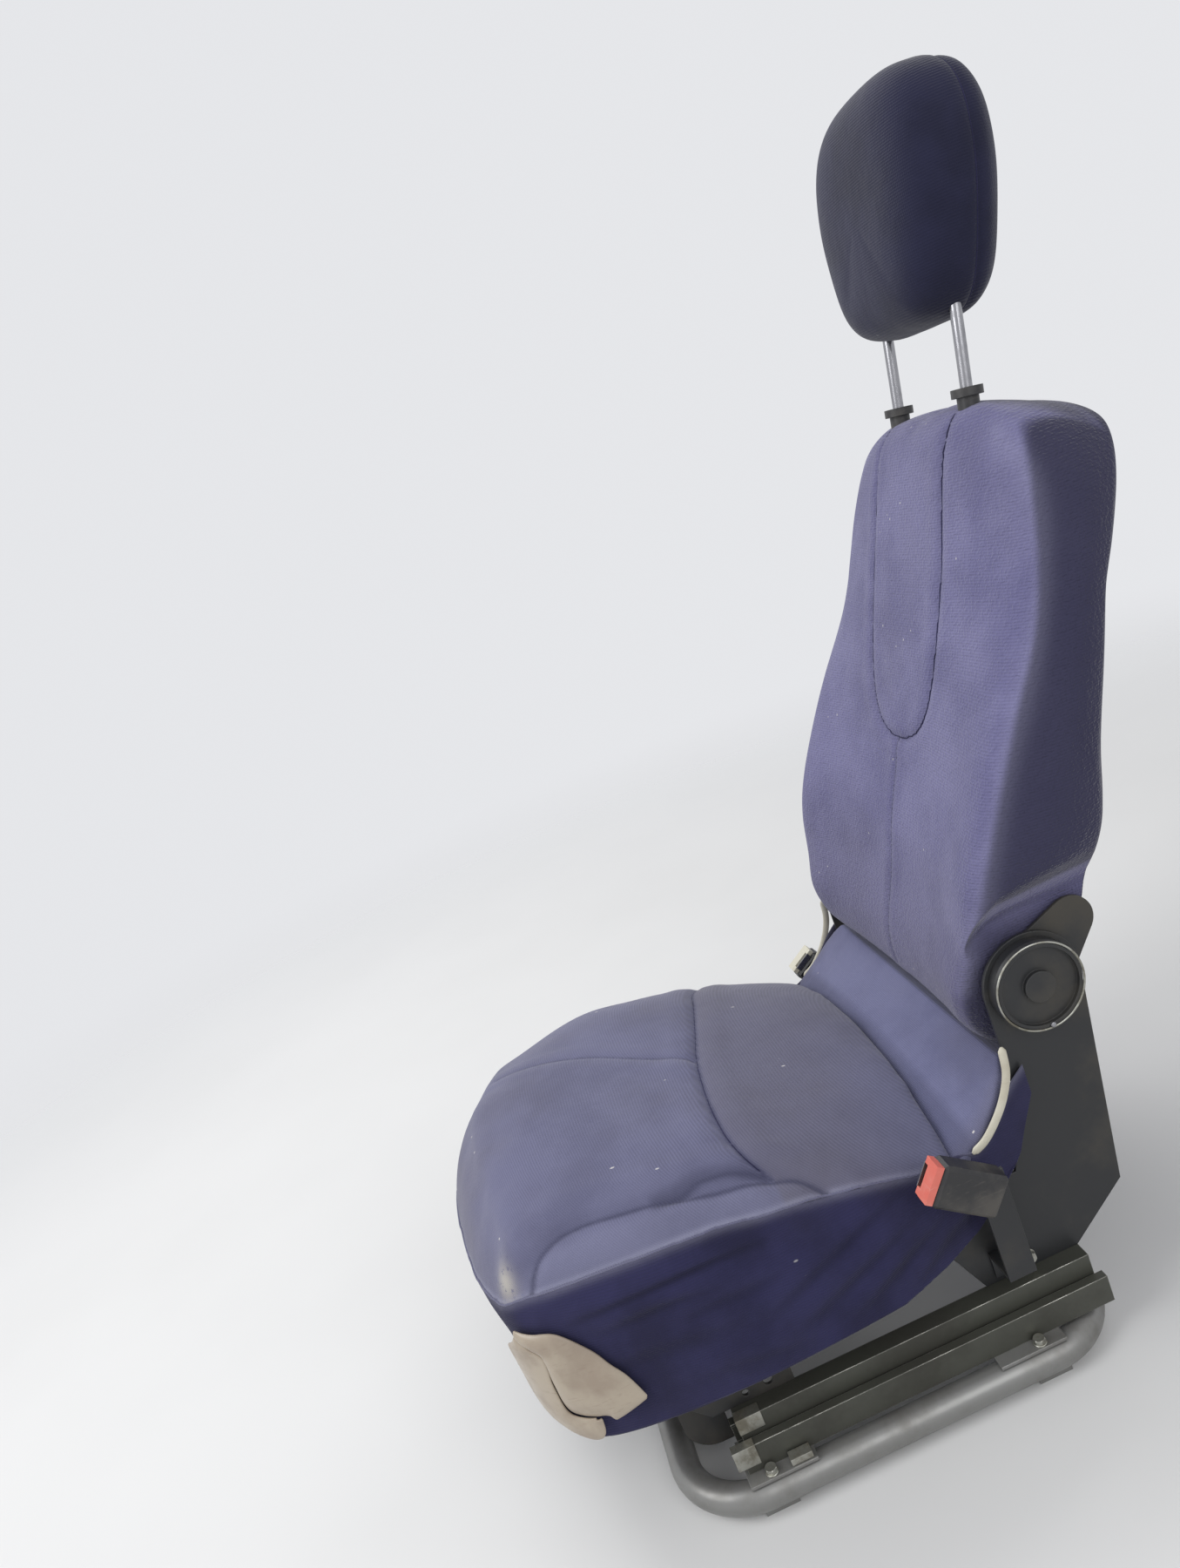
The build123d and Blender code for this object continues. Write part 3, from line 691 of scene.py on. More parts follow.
def skirt(cushion_ob):
    tree = surface_tree(cushion_ob)
    edge = sewn_line(tree, GUSSET)
    hem = smooth_line([*SKIRT_PLAN, SKIRT_NOSE, *mirrored(SKIRT_PLAN)], SEAM_POINTS)
    at = np.linspace(0, SEAM_POINTS - 1, SKIRT_COLUMNS)
    top = places_on(edge, range(SEAM_POINTS), at)
    low = places_on(hem, range(SEAM_POINTS), at)
    hem_z = SKIRT_Z + np.interp(low[:, 1], *np.transpose(HEM_RISE))
    ox, oy = outward(top[:, 0], top[:, 1])
    ways = [Vector((x, y, 0)) for x, y in zip(ox, oy)]
    rows = np.zeros((SKIRT_ROWS, SKIRT_COLUMNS, 3))
    walls = np.zeros((SKIRT_ROWS, SKIRT_COLUMNS, 2))
    for c, away in enumerate(ways):
        for r in range(SKIRT_ROWS):
            t = r / (SKIRT_ROWS - 1)
            z = top[c, 2] * (1 - t) + hem_z[c] * t
            origin = Vector((top[c, 0], top[c, 1], max(z, WALL_LOW))) + away * 0.2
            hit = tree.ray_cast(origin, -away)[0]
            place = top[c, :2]
            if hit is not None and hypot(hit.x - place[0], hit.y - place[1]) < WALL_REACH:
                place = np.array((hit.x, hit.y))
            if z < WALL_LOW:
                share = (WALL_LOW - z) / (WALL_LOW - hem_z[c])
                place = place * (1 - share) + low[c] * share
            walls[r, c] = place
            rows[r, c, 2] = z
    swell_in = np.minimum(1, 6 * np.linspace(0, 1, SKIRT_ROWS))[:, None]
    push = SKIRT_TOP_OUT + fold_height(walls[:, :, 1], rows[:, :, 2]) * swell_in
    rows[:, :, 0] = walls[:, :, 0] + ox * push
    rows[:, :, 1] = walls[:, :, 1] + oy * push
    relax(rows[:, :, :2], 3)
    for c, away in enumerate(ways):
        for r in np.flatnonzero(rows[:, c, 2] >= WALL_LOW):
            point = Vector(rows[r, c])
            hit = tree.ray_cast(point + away * 0.1, -away)[0]
            if hit is None:
                continue
            gap = point - hit
            if gap.dot(away) < SKIRT_TOP_OUT and gap.length < WALL_REACH:
                rows[r, c, :2] = (hit + away * SKIRT_TOP_OUT)[:2]
    ob = mesh_piece("side_skirt", rows.reshape(-1, 3), grid_faces(SKIRT_ROWS, SKIRT_COLUMNS))
    modifier(ob, "SOLIDIFY", thickness=1.4 * MM, offset=-1.0)
    apply_modifiers(ob)
    co = point_cloud(ob)
    near = distance_to(edge, co)[0]
    # Painted shade in the valleys under the pulled folds; paler rubbed top with painted sheen; darker towards
    # the rear
    under = fold_height(co[:, 1], co[:, 2] + 6 * MM) - fold_height(co[:, 1], co[:, 2])
    paint(ob, rub=0.35 * bell(near, 5), press=under / (6 * MM),
          soil=0.25 * np.clip((co[:, 1] - 0.02) / 0.08, 0, 1))
    dress(ob, SKIRT_CLOTH, "skirt_cloth", "seat", "skirt_left", "skirt_right", "skirt_front")
    length = float(norm(np.diff(rows[0], axis=0), axis=1).sum())
    sheet_area(rows)
    return ob


def sheet_area(grid):
    a = grid[1:, :-1] - grid[:-1, :-1]
    b = grid[:-1, 1:] - grid[:-1, :-1]
    return float(norm(np.cross(a, b), axis=2).sum())


def fold_height(y, z):
    """Height of the pulled folds at a place along the side."""
    total = np.zeros_like(y)
    for y0, z0, y1, z1, high, wide in FOLDS:
        dy, dz = y1 - y0, z1 - z0
        length = hypot(dy, dz)
        along = ((y - y0) * dy + (z - z0) * dz) / length ** 2
        across = ((y - y0) * -dz + (z - z0) * dy) / length
        across = across - FOLD_BEND * np.sin(pi * along)
        fade = np.clip(np.sin(pi * np.clip(along, 0, 1)), 0, 1) ** 0.7
        total += high * fade * np.exp(-(across / wide) ** 2)
    return total


# Backrest, flap and headrest

HINGE = (0.222, 0.322)   # y, z of the recliner
# height, half width, y of the front at the centre, x and y of the bolster's ridge, and y of the rear
# at the side and at the centre
BACK_SECTIONS = metres((
    (256, 176, 192, 152, 188, 246, 258),
    (275, 180, 179, 156, 174, 251, 266),
    (292, 184, 176.5, 160, 166, 257, 273),
    (320, 187, 180, 168, 163, 268, 290),
    (353, 194, 192.5, 178, 173, 280, 304),
    (390, 214, 208.5, 192, 185, 288, 320),
    (432, 226, 225.5, 197, 204, 304, 334),
    (483, 224, 248, 195, 232, 320, 354),
    (534, 219, 268, 191, 263, 340, 370),
    (590, 212, 288, 185, 300, 364, 392),
    (640, 204, 306.5, 176, 322, 386, 412),
    (690, 192, 324, 162, 340, 408, 430),
    (724, 174, 336, 144, 351, 424, 442),
    (748, 148, 344, 118, 358, 436, 452),
    (764, 112, 349, 86, 362, 446, 460),
))
BACK_LOW = 0.2575
BACK_HIGH = 0.763
BACK_ROWS = 92
BACK_COUNTS = (10, 9, 8, 5, 5, 7, 7, 6, 8, 8, 8)   # columns between the points of half a section
BACK_TOP_FALL = 20.0
TILT_FROM = 0.6
LOW_ROUND = 0.014
TOP_ROUND = 0.03
NOTCH = 0.061
NOTCH_HALF = 0.1855
# Below this depth under the hinge, the foot's front stays within this reach of it
FOOT_BELOW = -0.034
FOOT_REACH = 0.0675
U_SEAM = metres((
    (60, 376, 751), (64, 349, 687), (68, 321, 616), (62, 283, 536), (40, 262, 500), (0, 256, 489),
))   # one leg, from the top down
RIDGE = metres((
    (128, 345, 738), (182, 335, 682), (196, 297, 576), (206, 233, 483), (210, 205, 432), (212, 186, 390),
    (180, 170, 330),
))
CENTRE_SEAM = metres(((0, 253, 489), (0, 221, 406), (0, 203, 343), (0, 190, 285)))
REAR_SEAM = metres((
    (146, 292, 290), (160, 330, 350), (192, 350, 420), (196, 375, 500), (186, 405, 590), (168, 435, 670),
    (148, 448, 712), (112, 456, 734), (0, 466, 744),
))   # seam of the rear panel, from the bottom up


def both_legs(leg, count):
    return smooth_line([*leg, *mirrored(leg[:-1])], count)


def half_section(w, xr, ridge, side, rear):
    """Half a closed section, x and depth behind the front's centre, from front to rear."""
    return (
        (0.0, 0.0), (0.3 * xr, 0.05 * ridge), (0.62 * xr, 0.4 * ridge), (0.88 * xr, 0.88 * ridge),
        (xr, ridge + 0.0015), (xr + 0.62 * (w - xr), ridge + 0.14 * (side - ridge)),
        (w, ridge + 0.48 * (side - ridge)), (w - 0.002, ridge + 0.84 * (side - ridge)),
        (0.93 * w, side + 0.004), (0.7 * w, side + 0.66 * (rear - side)),
        (0.35 * w, side + 0.95 * (rear - side)), (0.0, rear),
    )


def section_loop(half, counts):
    """Closed smooth loop through half a section and its mirror, with set columns between its points."""
    p = np.array([*half, *mirrored(half[1:-1])])
    out = []
    for i, steps in enumerate([*counts, *reversed(counts)]):
        around = [p[(i + k) % len(p)] for k in (-1, 0, 1, 2)]
        out += [between(*around, t) for t in np.linspace(0, 1, steps, endpoint=False)]
    return np.array(out)


def round_end(distance, radius):
    """How far a rounded end has drawn in at a distance from it."""
    d = min(max(distance, 0.0), radius)
    return radius - sqrt(radius ** 2 - (radius - d) ** 2)


def plate_limit(co):
    """Half the pad's width allowed at each point by the arms and side plates round the recliner."""
    y, z = (co[:, 1:] - HINGE).T
    outside = np.minimum.reduce([
        np.hypot(y, z) - NOTCH, np.maximum(-y, z - NOTCH), np.maximum(-y - 0.045, z)])
    return NOTCH_HALF + 1.1 * np.maximum(0, outside)


def clear_of_plates(co):
    """Keeps the pad's sides inside the arms and side plates round the recliner, and its foot off the hub."""
    y, z = (co[:, 1:] - HINGE).T
    limit = plate_limit(co)
    out = co.copy()
    out[:, 0] = np.clip(co[:, 0], -limit, limit)
    reach = np.hypot(y, z)
    far = (y < 0) & (z < FOOT_BELOW) & (reach > FOOT_REACH)
    out[far, 1] = HINGE[0] + y[far] * FOOT_REACH / reach[far]
    out[far, 2] = HINGE[1] + z[far] * FOOT_REACH / reach[far]
    return out


def end_rings(row, lift):
    """Rings inside an end of the pad, domed by a lift."""
    centre = row.mean(axis=0)
    rings = []
    for scale in (0.86, 0.68, 0.48, 0.28, 0.1):
        ring = centre + (row - centre) * scale
        ring[:, 2] += lift * (1 - scale ** 2)
        rings.append(ring)
    return rings


def backrest():
    dense = smooth_line(BACK_SECTIONS, 400)
    dense = dense[np.argsort(dense[:, 0])]
    share = 0.5 - 0.5 * np.cos(np.linspace(0, pi, BACK_ROWS))
    share = 0.45 * share + 0.55 * np.linspace(0, 1, BACK_ROWS)
    rows = []
    for z in BACK_LOW + (BACK_HIGH - BACK_LOW) * share:
        w, front, xr, ridge, side, rear = places_on(dense, dense[:, 0], z)[0, 1:]
        loop = section_loop(half_section(w, xr, ridge - front, side - front, rear - front), BACK_COUNTS)
        middle = np.array((0.0, 0.5 * (rear - front)))
        drawn = round_end(z - BACK_LOW, LOW_ROUND) + round_end(BACK_HIGH - z, TOP_ROUND)
        from_middle = loop - middle
        reach = norm(from_middle, axis=1, keepdims=True)
        loop = middle + from_middle * (1 - drawn / np.maximum(reach, 0.03))
        turn = radians(BACK_TOP_FALL) * np.clip((z - TILT_FROM) / (BACK_HIGH - TILT_FROM), 0, 1)
        rows.append(np.column_stack([
            loop[:, 0], front + loop[:, 1] * cos(turn), z - loop[:, 1] * sin(turn)]))
    points, faces = closed_loft(end_rings(rows[0], -0.002)[::-1] + rows + end_rings(rows[-1], 0.005))
    ob = mesh_piece("backrest_pad", clear_of_plates(points), faces)
    edit_mesh(ob, bmesh.ops.recalc_face_normals, "faces")
    shrink(ob, 2 * MM)
    puff(ob, 2.0, 4 * MM, lambda co: np.clip((co[:, 2] - 0.36) / 0.05, 0.1, 1))
    set_points(ob, clear_of_plates(point_cloud(ob)))
    tree = surface_tree(ob)
    legs = snap_to(tree, both_legs(U_SEAM, 240))
    centre = snap_to(tree, smooth_line(CENTRE_SEAM, 80))
    rear_edge = snap_to(tree, both_legs(REAR_SEAM, 320))
    ridges = [snap_to(tree, smooth_line(RIDGE * (side, 1, 1), 140)) for side in SIDES]
    groove(ob, legs, 3.2, 2.4, 0.9, ramp(-point_cloud(ob)[:, 2], -0.752, -0.735))
    groove(ob, centre, 2.6, 1.4, 0.5)
    groove(ob, rear_edge, 3.0, 1.8, 0.7)
    co = point_cloud(ob)
    # Side and rear panels darker: their own darker cloth plus painted shade; painted shade also on the shelf
    # cut by the recliner's plates
    ridge_x = np.interp(co[:, 2], dense[:, 0], dense[:, 3])
    beside = ramp(np.abs(co[:, 0]) - ridge_x, 0.001, 0.009)
    beside = np.maximum(beside, ramp(np.abs(co[:, 0]) - plate_limit(co), -0.004, -0.001))
    near_legs, near_centre, *near_ridges = (distance_to(line, co)[0] for line in (legs, centre, *ridges))
    # Painted shade along the seams, rubbed wear with painted sheen along the ridges, and painted shade darker
    # towards the bottom
    paint(ob, dark=0.9 * np.maximum(beside, ramp(point_normals(ob)[:, 1], 0.1, 0.4)),
          press=0.85 * bell(near_legs, 2.0) + 0.35 * bell(near_centre, 2.0),
          rub=0.12 * bell(np.minimum(*near_ridges), 9), soil=0.1 + 0.45 * ramp(-co[:, 2], -0.45, -0.29))
    tree = surface_tree(ob)
    thread("back_seam", snap_to(tree, legs, 0.3 * MM), 0.7 * MM, SKIRT_CLOTH, "backrest")
    thread("rear_panel_seam", snap_to(tree, rear_edge, 0.2 * MM), 0.7 * MM, SKIRT_CLOTH, "backrest")
    stitches("back_stitches", snap_to(tree, centre, -0.1 * MM), "backrest")
    dress(ob, BACK_CLOTH, "seat_cloth", "backrest", "back_pad")


STITCH_LENGTH = 2.6 * MM
STITCH_GAP = 1.9 * MM
STITCH_R = 0.35 * MM
STITCH_RINGS = ((0.0, 0.35), (0.2, 1.0), (0.8, 1.0), (1.0, 0.35))   # share of the length and of the radius


def stitches(name, line, body):
    """Row of short stitches along a line of points."""
    run = run_along(line)
    points = []
    faces = []
    start = 0.0
    while start + STITCH_LENGTH < run[-1]:
        first, last = places_on(line, run, (start, start + STITCH_LENGTH))
        along = Vector(last - first).normalized()
        side = along.cross(Vector((0, -1, 0))).normalized()
        up = along.cross(side)
        faces += shifted(tube_faces(len(STITCH_RINGS), 6), len(points))
        for t, scale in STITCH_RINGS:
            at = Vector(first * (1 - t) + last * t)
            for k in range(6):
                angle = k * pi / 3
                points.append(at + (side * cos(angle) + up * sin(angle)) * STITCH_R * scale)
        start += STITCH_LENGTH + STITCH_GAP
    fit(mesh_piece(name, points, faces), SEAM_CLOTH, body)


# Flap: rises in a hollow curve from the cushion's rear seam and goes under the backrest

ARC_MIDDLE = 0.1335
ARC_SIDE = 0.116
FLAP_HALF = ((0.0, 0.199), (0.35, 0.196), (0.7, 0.191), (0.88, 0.183), (1.0, 0.1735), (2.0, 0.1735))
FLAP_CREST = (0.1825, 0.26)
FLAP_TAIL = metres(((191.5, 255.5), (202, 250.8), (214, 248), (227, 247.5), (240, 249.5)))
REAR_TOP = 0.2365   # height of the cushion's top at its rear edge, in the middle
REAR_FALL = 0.036   # and how much lower it is at the sides
LEAD_IN = ((0.016, 0.014), (0.007, 0.004))   # forward and down, inside the cushion
FLAP_ROWS = 26
FLAP_COLUMNS = 70
FLAP_THICK = 11 * MM


def rear_flap():
    tail = smooth_line([FLAP_CREST, *FLAP_TAIL], 14)
    share = np.linspace(-1, 1, FLAP_COLUMNS)
    y0 = ARC_MIDDLE - (ARC_MIDDLE - ARC_SIDE) * share ** 2
    z0 = REAR_TOP - REAR_FALL * share ** 2
    rows = []
    for forward, down in LEAD_IN:
        rows.append(np.column_stack([share * FLAP_HALF[0][1], y0 - forward, z0 - down]))
    for t in np.linspace(0, 1, FLAP_ROWS):
        half = np.interp(t, *np.transpose(FLAP_HALF))
        y = y0 + (FLAP_CREST[0] - y0) * t
        z = z0 + (FLAP_CREST[1] - z0) * (0.8 * t + 0.2 * t ** 2.4)
        z = z - 2.0 * MM * sin(pi * t) * (1 - share ** 2)
        rows.append(np.column_stack([share * half, y, z]))
    for place in tail[1:]:
        rows.append(np.column_stack([share * FLAP_HALF[-1][1], np.tile(place, (FLAP_COLUMNS, 1))]))
    ob = mesh_piece("rear_flap_pad", np.vstack(rows), grid_faces(len(rows), FLAP_COLUMNS))
    modifier(ob, "SOLIDIFY", thickness=FLAP_THICK, offset=-1.0)
    subdivide(ob)
    co = point_cloud(ob)
    # Painted shade at the front edge, where the flap meets the cushion; darker at the sides
    paint(ob, press=0.4 * np.clip(1 - (co[:, 1] - 0.13) / 0.008, 0, 1),
          soil=0.05 + 0.5 * np.clip((np.abs(co[:, 0]) - 0.175) / 0.02, 0, 1))
    dress(ob, SEAT_CLOTH, "seat_cloth", "seat", "rear_flap")


STRIP_PATH = metres(((128, 206), (142, 213), (157, 228), (168, 244), (175.5, 262), (178, 284)))
STRIP_X = 0.1995
STRIP_HALF_W = 3.6 * MM
STRIP_HALF_T = 2.0 * MM
STRIP_RINGS = 60
STRIP_SIDES = 12


def edge_strip(side):
    """Moulded strip that curves up beside the flap."""
    line = smooth_line([(side * STRIP_X, y, z) for y, z in STRIP_PATH], STRIP_RINGS)
    last = STRIP_RINGS - 1
    out = Vector((1, 0, 0))
    points = []
    for i, at in enumerate(line):
        along = Vector(line[min(i + 1, last)] - line[max(i - 1, 0)]).normalized()
        across = along.cross(out).normalized()
        end = min(1.0, 0.35 + min(i, last - i) * 0.3)
        for k in range(STRIP_SIDES):
            angle = 2 * pi * k / STRIP_SIDES
            spoke = across * cos(angle) * STRIP_HALF_W - out * sin(angle) * STRIP_HALF_T
            points.append(Vector(at) + spoke * end)
    ob = mesh_piece(f"curved_strip_{SIDES[side]}", points, tube_faces(STRIP_RINGS, STRIP_SIDES))
    dress(ob, STRIP, "strip_plastic", "seat", f"edge_strip_{SIDES[side]}")


# Corner caps: a swollen shell and a raised lip that meet along a crease, laid over the skirt.
# Lines of (place along the corner, height).

CAP_TOP_EDGE = metres((
    (-46.9, 234.4), (-38.8, 232.4), (-29.5, 231.4), (-20.9, 231.3), (-14.8, 230.1), (-9.1, 225.5),
    (-0.1, 211.7), (8.5, 196.7), (15.1, 181.9), (19.3, 166), (22.2, 153.5), (23, 148.5),
))
CAP_CREASE = metres((
    (-49.4, 225.9), (-43, 222.1), (-34.4, 216.9), (-27.1, 210.6), (-26.3, 205.9), (-27, 199.4),
    (-28.5, 188), (-29.3, 176.5), (-30.4, 165.9), (-30.4, 157.4), (-28.2, 151.7), (-23.2, 148.6),
    (-16.9, 146), (-10.7, 144.3),
))
CAP_TOOTH = metres(((-10.7, 144.3), (-5.7, 143.8), (-1.6, 141.5)))
CAP_LOW_EDGE = metres(((-0.8, 136.6), (5.5, 138.9), (12.1, 142), (17.5, 144.9), (22.6, 147.9)))
CAP_LIP_EDGE = metres((
    (-49.4, 225.9), (-59, 217), (-74, 207), (-83, 195), (-83.5, 179), (-78, 161), (-68, 148),
    (-54.5, 138.4), (-46.5, 134.8), (-39.9, 130.5), (-33.3, 127.1), (-27.1, 124.1), (-20.9, 122.1),
    (-16.3, 122.3), (-13.7, 123.5), (-10.8, 126.6), (-9.2, 131.8), (-8.6, 139), (-8.6, 142.7),
))
CAP_BASE = 3.6 * MM
CAP_SWELL = 7.0 * MM
CAP_LIP_RISE = 3.0 * MM
CAP_THICK = 2.4 * MM
CAP_ROWS = 11
CORNER_OUT = Vector((sqrt(0.5), -sqrt(0.5), 0))
CORNER_ALONG = Vector((sqrt(0.5), sqrt(0.5), 0))


def cap_strip(tree, first, second, height):
    """Points of a strip between two lines of the left cap, at a height over the skirt by rows and columns."""
    t = np.linspace(0, 1, CAP_ROWS)[:, None, None]
    grid = first * (1 - t) + second * t
    columns = grid.shape[1]
    reach = np.full((CAP_ROWS, columns), np.nan)
    for r in range(CAP_ROWS):
        for c in range(columns):
            origin = CORNER_ALONG * grid[r, c, 0] + CORNER_OUT * 0.5 + Vector((0, 0, grid[r, c, 1]))
            hit = tree.ray_cast(origin, -CORNER_OUT)[0]
            if hit is not None:
                reach[r, c] = hit.dot(CORNER_OUT)
        known = np.flatnonzero(~np.isnan(reach[r]))
        reach[r] = np.interp(range(columns), known, reach[r, known])
    relax(reach, 10)
    share = np.linspace(0, 1, columns)
    over = reach + np.array([[height(row, at) for at in share] for row in np.linspace(0, 1, CAP_ROWS)])
    return (grid[:, :, :1] * np.array(CORNER_ALONG) + over[:, :, None] * np.array(CORNER_OUT)
            + grid[:, :, 1:] * np.array((0, 0, 1))).reshape(-1, 3)


def corner_cap(side, tree):
    crease = smooth_line(CAP_CREASE, 54)[:-1]
    shell_low = np.vstack([crease, smooth_line(CAP_TOOTH, 6), smooth_line(CAP_LOW_EDGE, 21)])
    shell = cap_strip(tree, smooth_line(CAP_TOP_EDGE, len(shell_low)), shell_low, lambda row, at: CAP_BASE
                      + CAP_SWELL * sin(pi * row) ** 0.7 * sin(pi * at) ** 0.5)
    lip = cap_strip(tree, smooth_line(CAP_CREASE, 60), smooth_line(CAP_LIP_EDGE, 60), lambda row, at: CAP_BASE
                    + CAP_LIP_RISE * (1 - 0.4 * row) * min(1, 8 * at) + 1.5 * MM * sin(pi * row))
    points = np.vstack([shell, lip])
    points[:, 0] *= side
    faces = grid_faces(CAP_ROWS, len(shell_low)) + shifted(grid_faces(CAP_ROWS, 60), len(shell))
    ob = mesh_piece(f"corner_cap_skin_{SIDES[side]}", points, [face[::side] for face in faces])
    modifier(ob, "SOLIDIFY", thickness=CAP_THICK, offset=-1.0)
    subdivide(ob)
    set_points(ob, draw_in(point_cloud(ob)))
    dress(ob, CAP, "cap_plastic", "seat", f"corner_cap_{SIDES[side]}")


HEAD_FOOT = (0.3823, 0.8212)   # y, z of the middle of its underside
HEAD_LEAN = 9.0
HEAD_OUTLINE = metres((
    (0, 0), (45, 1), (69, 8), (86, 26), (99, 60), (108, 100), (107, 135), (98, 163), (79, 184), (48, 196),
))   # half width and height from the underside
HEAD_HEIGHT = 0.199
HEAD_DEPTH = 0.094
HEAD_COUNTS = (9, 6, 5, 6, 6, 6, 6, 6, 7, 8)
HEAD_RINGS = 34
HEAD_SEAM_BACK = 0.012   # how far behind the middle its seam runs


def headrest():
    loop = section_loop([*HEAD_OUTLINE, (0.0, HEAD_HEIGHT)], HEAD_COUNTS)
    middle = np.array((0.0, 0.5 * HEAD_HEIGHT))
    lean = radians(HEAD_LEAN)
    up = np.array((0.0, sin(lean), cos(lean)))
    back = np.array((0.0, cos(lean), -sin(lean)))
    foot = np.array((0.0, *HEAD_FOOT))
    rows = []
    for k in range(1, HEAD_RINGS):
        angle = -pi / 2 + pi * k / HEAD_RINGS
        scale = abs(cos(angle)) ** 0.42
        depth = 0.5 * HEAD_DEPTH * copysign(abs(sin(angle)) ** 0.8, angle)
        ring = middle + (loop - middle) * scale
        hollow = 4 * MM * (1 - scale) * (1 if depth > 0 else -1)
        rows.append(foot + ring[:, :1] * (1, 0, 0) + ring[:, 1:] * up + (depth - hollow) * back)
    ob = mesh_piece("headrest_cushion", *closed_loft(rows))
    edit_mesh(ob, bmesh.ops.recalc_face_normals, "faces")
    puff(ob, 1.5, 2 * MM)
    rim = foot + loop[:, :1] * (1, 0, 0) + loop[:, 1:] * up + HEAD_SEAM_BACK * back
    seam = snap_to(surface_tree(ob), rim)
    groove(ob, np.vstack([seam, 0.5 * (seam + np.roll(seam, 1, axis=0))]), 2.6, 1.5, 0.6)
    seam = snap_to(surface_tree(ob), seam, 0.1 * MM)
    thread("headrest_seam", seam, 0.6 * MM, SKIRT_CLOTH, "headrest", closed=True)
    dress(ob, HEAD_CLOTH, "headrest_cloth", "headrest", "headrest_pad")


# Fittings: bolts, folded clips, and the recliner's ring and pin

# In mm: name, sides, x, y and z of the bolt's seat, out along x or up, half width across flats, height,
# washer's radius, body
BOLTS = (
    ("floor_bolt_front", SIDES, (160, -125, 5), "up", 6.5, 5.3, 8.5, "floor_frame"),
    ("floor_bolt_rear", SIDES, (160, 125, 5), "up", 6.5, 5.3, 8.5, "floor_frame"),
    ("rail_bolt_front", SIDES, (224.3, -122, 34.6), "up", 4.5, 4.0, 5.8, "floor_frame"),
    ("rail_bolt_rear", SIDES, (224.3, 122, 34.6), "up", 4.5, 4.0, 5.8, "floor_frame"),
    ("plate_bolt", SIDES, (193, 146, 89), "out", 5.0, 4.0, 6.2, "seat"),
    ("strap_bolt_near", [1], (196, 126, 95.5), "out", 5.5, 5.0, 7.5, "seat"),
    ("strap_bolt_far", [-1], (196, 166, 95.5), "out", 5.5, 5.0, 7.5, "seat"),
)
WASHER_T = 1.5
# In mm: name, body, start and end along y, corners of the folded section as (x, z)
CLIPS = (
    ("rail_end_clip", "floor_frame", -147, -127, ((211, 60.4), (218.8, 60.4), (218.8, 42))),
    ("slider_clip", "seat", -134.5, -112, ((199, 78.3), (208.7, 78.3), (208.7, 64))),
    ("rail_block", "floor_frame", -105, -86, ((219.7, 35), (219.7, 40.5), (228.5, 40.5), (228.5, 35))),
)
CLIP_T = 1.1 * MM
RING_X = 0.2052
RING_R = 0.037
RING_WIRE = 0.9 * MM
PIN_BELOW = 0.0345
PIN = ((2.0, -1.0, 0), (2.2, 0.0, 0), (2.2, 1.6, 0), (1.6, 2.2, 0), (0.8, 2.4, 0))
TURNED_SIDES = 36
# Buckles: side, y and z of the end plate's middle, lean from upright in degrees, material of the plate
BUCKLE_ENDS = ((1, 0.077, 0.2329, 53.1, BUTTON), (-1, 0.1394, 0.2066, 32.0, STRIP))
BUCKLE_X = 0.2433
# Blocks beside the plate's slot: place and half size, inboard, along the plate and outwards, in mm
SLOT_LUGS = (((8.9, 12.9, 0.0), (2.6, 3.1, 3.0)), ((8.9, -12.9, 0.0), (2.6, 3.1, 3.0)))
SLOT_EDGE = (((12.0, 0.0, -0.3), (0.5, 10.5, 3.3)),)
BLOCK_FACES = ((0, 1, 3, 2), (4, 6, 7, 5), (0, 4, 5, 1), (2, 3, 7, 6), (0, 2, 6, 4), (1, 5, 7, 3))


def turned(name, at, up, profile, body, material):
    """Solid of rings along an axis: radius, height and, where it is a hexagon, the corners' radius."""
    axis = Vector((0, 0, 1)) if up else Vector((copysign(1, at[0]), 0, 0))
    right = Vector((0, 1, 0))
    other = axis.cross(right)
    points = []
    for radius, height, corner in profile:
        for k in range(TURNED_SIDES):
            angle = 2 * pi * k / TURNED_SIDES
            r = radius
            if corner:
                r = min(radius / cos((angle + pi / 6) % (pi / 3) - pi / 6), corner)
            spoke = right * cos(angle) + other * sin(angle)
            points.append(Vector(at) + spoke * r * MM + axis * height * MM)
    fit(mesh_piece(name, points, tube_faces(len(profile), TURNED_SIDES), smooth=False), material, body)


def blocks(name, middle, axes, table, bevel, material):
    """Small bevelled blocks on set axes."""
    points = []
    faces = []
    for place, half in table:
        faces += shifted(BLOCK_FACES, len(points))
        for corner in range(8):
            signs = [1 if corner >> k & 1 else -1 for k in range(3)]
            steps = [axes[k] * (place[k] + signs[k] * half[k]) * MM for k in range(3)]
            points.append(middle + sum(steps, Vector()))
    ob = mesh_piece(name, points, faces, smooth=False)
    modifier(ob, "BEVEL", width=bevel, segments=2)
    apply_modifiers(ob)
    edit_mesh(ob, bmesh.ops.recalc_face_normals, "faces")
    fit(ob, material, "seat")


def buckle_ends():
    """The plate's ends, which close round the slot, and the slot's steel edge."""
    for side, y, z, lean, material in BUCKLE_ENDS:
        angle = radians(lean)
        axes = (Vector((-side, 0, 0)), Vector((0, cos(angle), sin(angle))),
                Vector((0, -sin(angle), cos(angle))))
        middle = Vector((side * BUCKLE_X, y, z))
        blocks(f"buckle_lugs_{SIDES[side]}", middle, axes, SLOT_LUGS, 0.6 * MM, material)
        blocks(f"buckle_slot_edge_{SIDES[side]}", middle, axes, SLOT_EDGE, 0.2 * MM, CHROME)


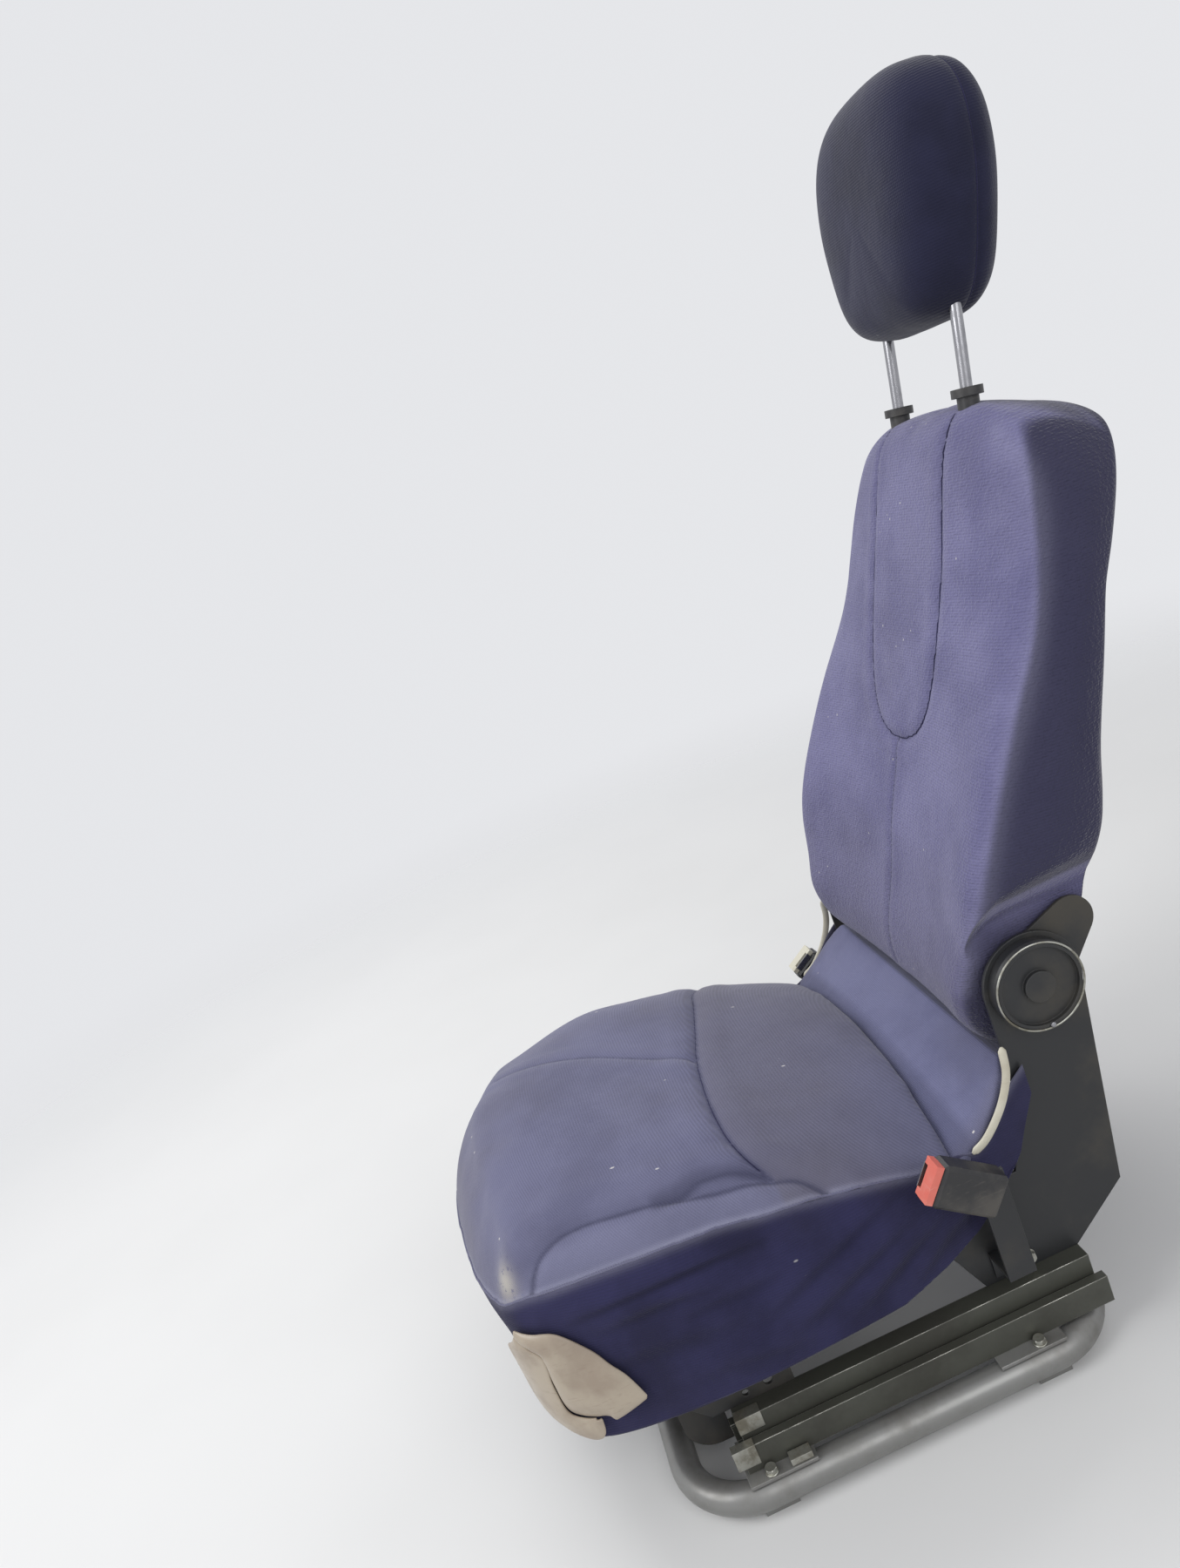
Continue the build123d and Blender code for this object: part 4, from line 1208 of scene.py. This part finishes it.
def fittings():
    for label, sides, at, way, half, high, washer, body in BOLTS:
        x, y, z = metres(at)
        top = WASHER_T + high
        profile = (
            (washer - 0.3, 0, 0), (washer, 0.3, 0), (washer, WASHER_T - 0.3, 0), (washer - 0.3, WASHER_T, 0),
            (half, WASHER_T, 99), (half, top - 0.7, 99), (half, top, half * 1.02), (half * 0.5, top - 0.2, 0),
        )
        for side in sides:
            name = f"{label}_{SIDES[side]}" if len(sides) > 1 else label
            turned(name, (side * x, y, z), way == "up", profile, body, PLATED)
    for label, body, start, end, corners in CLIPS:
        for side in SIDES:
            along = metres(np.linspace(start, end, 5))
            points = [(side * x, y, z) for x, z in metres(corners) for y in along]
            ob = mesh_piece(f"{label}_{SIDES[side]}", points, grid_faces(len(corners), 5), False)
            modifier(ob, "SOLIDIFY", thickness=CLIP_T, offset=0.0)
            modifier(ob, "BEVEL", width=0.35 * MM, segments=2)
            apply_modifiers(ob)
            fit(ob, PLATED, body)
    angles = np.linspace(0, 2 * pi, 72, endpoint=False)
    for side, name in SIDES.items():
        x, (y, z) = side * RING_X, HINGE
        ring = [(x, y + RING_R * cos(a), z + RING_R * sin(a)) for a in angles]
        thread(f"recliner_ring_{name}", ring, RING_WIRE, PLATED, "seat", closed=True)
        turned(f"recliner_pin_{name}", (x, y, z - PIN_BELOW), False, PIN, "seat", CHROME)


# Studio

FLOOR_PALE = (0.74, 0.74, 0.735, 1)
FLOOR_SHADE = (0.71, 0.71, 0.705, 1)
FADE_FROM = 1.0
FADE_TO = 2.6
# Strength of the white surroundings as a light, and as the camera and the glossy parts see them
WORLD_LIGHT = 0.55
WORLD_SHOWN = 0.82
WORLD_COLOUR = (0.96, 0.97, 1.0, 1)
# Name, place, watts and size of each lamp
LAMPS = (
    ("front window", (0.6, -2.4, 2.3), 42, 1.8),
    ("side window", (-1.6, -0.6, 2.4), 26, 1.6),
    ("near door", (2.4, 0.6, 1.8), 24, 1.8),
)


def studio():
    low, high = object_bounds()
    floor = mesh_piece("floor", [(-9, -9, 0), (9, -9, 0), (9, 9, 0), (-9, 9, 0)], [(0, 1, 2, 3)])
    s = Look("studio floor")
    s.set(base_color=s.mix(s.band(s.noise(2.0, 3), 0.3, 0.8), FLOOR_PALE, FLOOR_SHADE), roughness=0.85)
    fade = s.band(s.math("LENGTH", s.place, kind="VectorMath"), FADE_FROM, FADE_TO)
    joined = s.node("MixShader", fade, s.bsdf.outputs[0], s.node("BsdfTransparent").outputs[0])
    s.feed(s.tree.nodes["Material Output"], "Surface", joined.outputs[0])
    floor.data.materials.append(s.material)
    floor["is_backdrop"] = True
    world = bpy.data.worlds.new("studio")
    scene.world = world
    world.use_nodes = True
    w = Nodes(world.node_tree)
    ray = w.node("LightPath").outputs
    shown = w.math("MAXIMUM", ray["Is Camera Ray"], ray["Is Glossy Ray"])
    shown = w.math("MAXIMUM", shown, ray["Is Transmission Ray"])
    power = w.node("MapRange", value=shown, to_min=WORLD_LIGHT, to_max=WORLD_SHOWN)
    background = w.tree.nodes["Background"]
    w.feed(background, "Strength", power.outputs["Result"])
    background.inputs["Color"].default_value = WORLD_COLOUR
    centre = Vector(((low[0] + high[0]) / 2, (low[1] + high[1]) / 2, 0.4))
    for name, place, watts, size in LAMPS:
        data = bpy.data.lights.new(name, "AREA")
        data.energy = watts
        data.size = size
        lamp = new_object(name, data)
        lamp.location = place
        lamp.rotation_euler = (centre - Vector(place)).to_track_quat("-Z", "Y").to_euler()
    data = bpy.data.cameras.new("camera")
    data.lens = CAMERA_LENS
    data.sensor_width = 36.0
    camera = new_object("camera", data)
    camera.location = CAMERA_AT
    camera.rotation_euler = [radians(a) for a in CAMERA_TURN]
    scene.camera = camera
    scene.view_settings.view_transform = "Standard"


seat_pad = cushion()
panel = skirt(seat_pad)
rear_flap()
backrest()
headrest()
panel_tree = surface_tree(panel)
for side in SIDES:
    edge_strip(side)
    corner_cap(side, panel_tree)
for piece in (seat_pad, panel):
    set_points(piece, draw_in(point_cloud(piece)))
fittings()
buckle_ends()
studio()
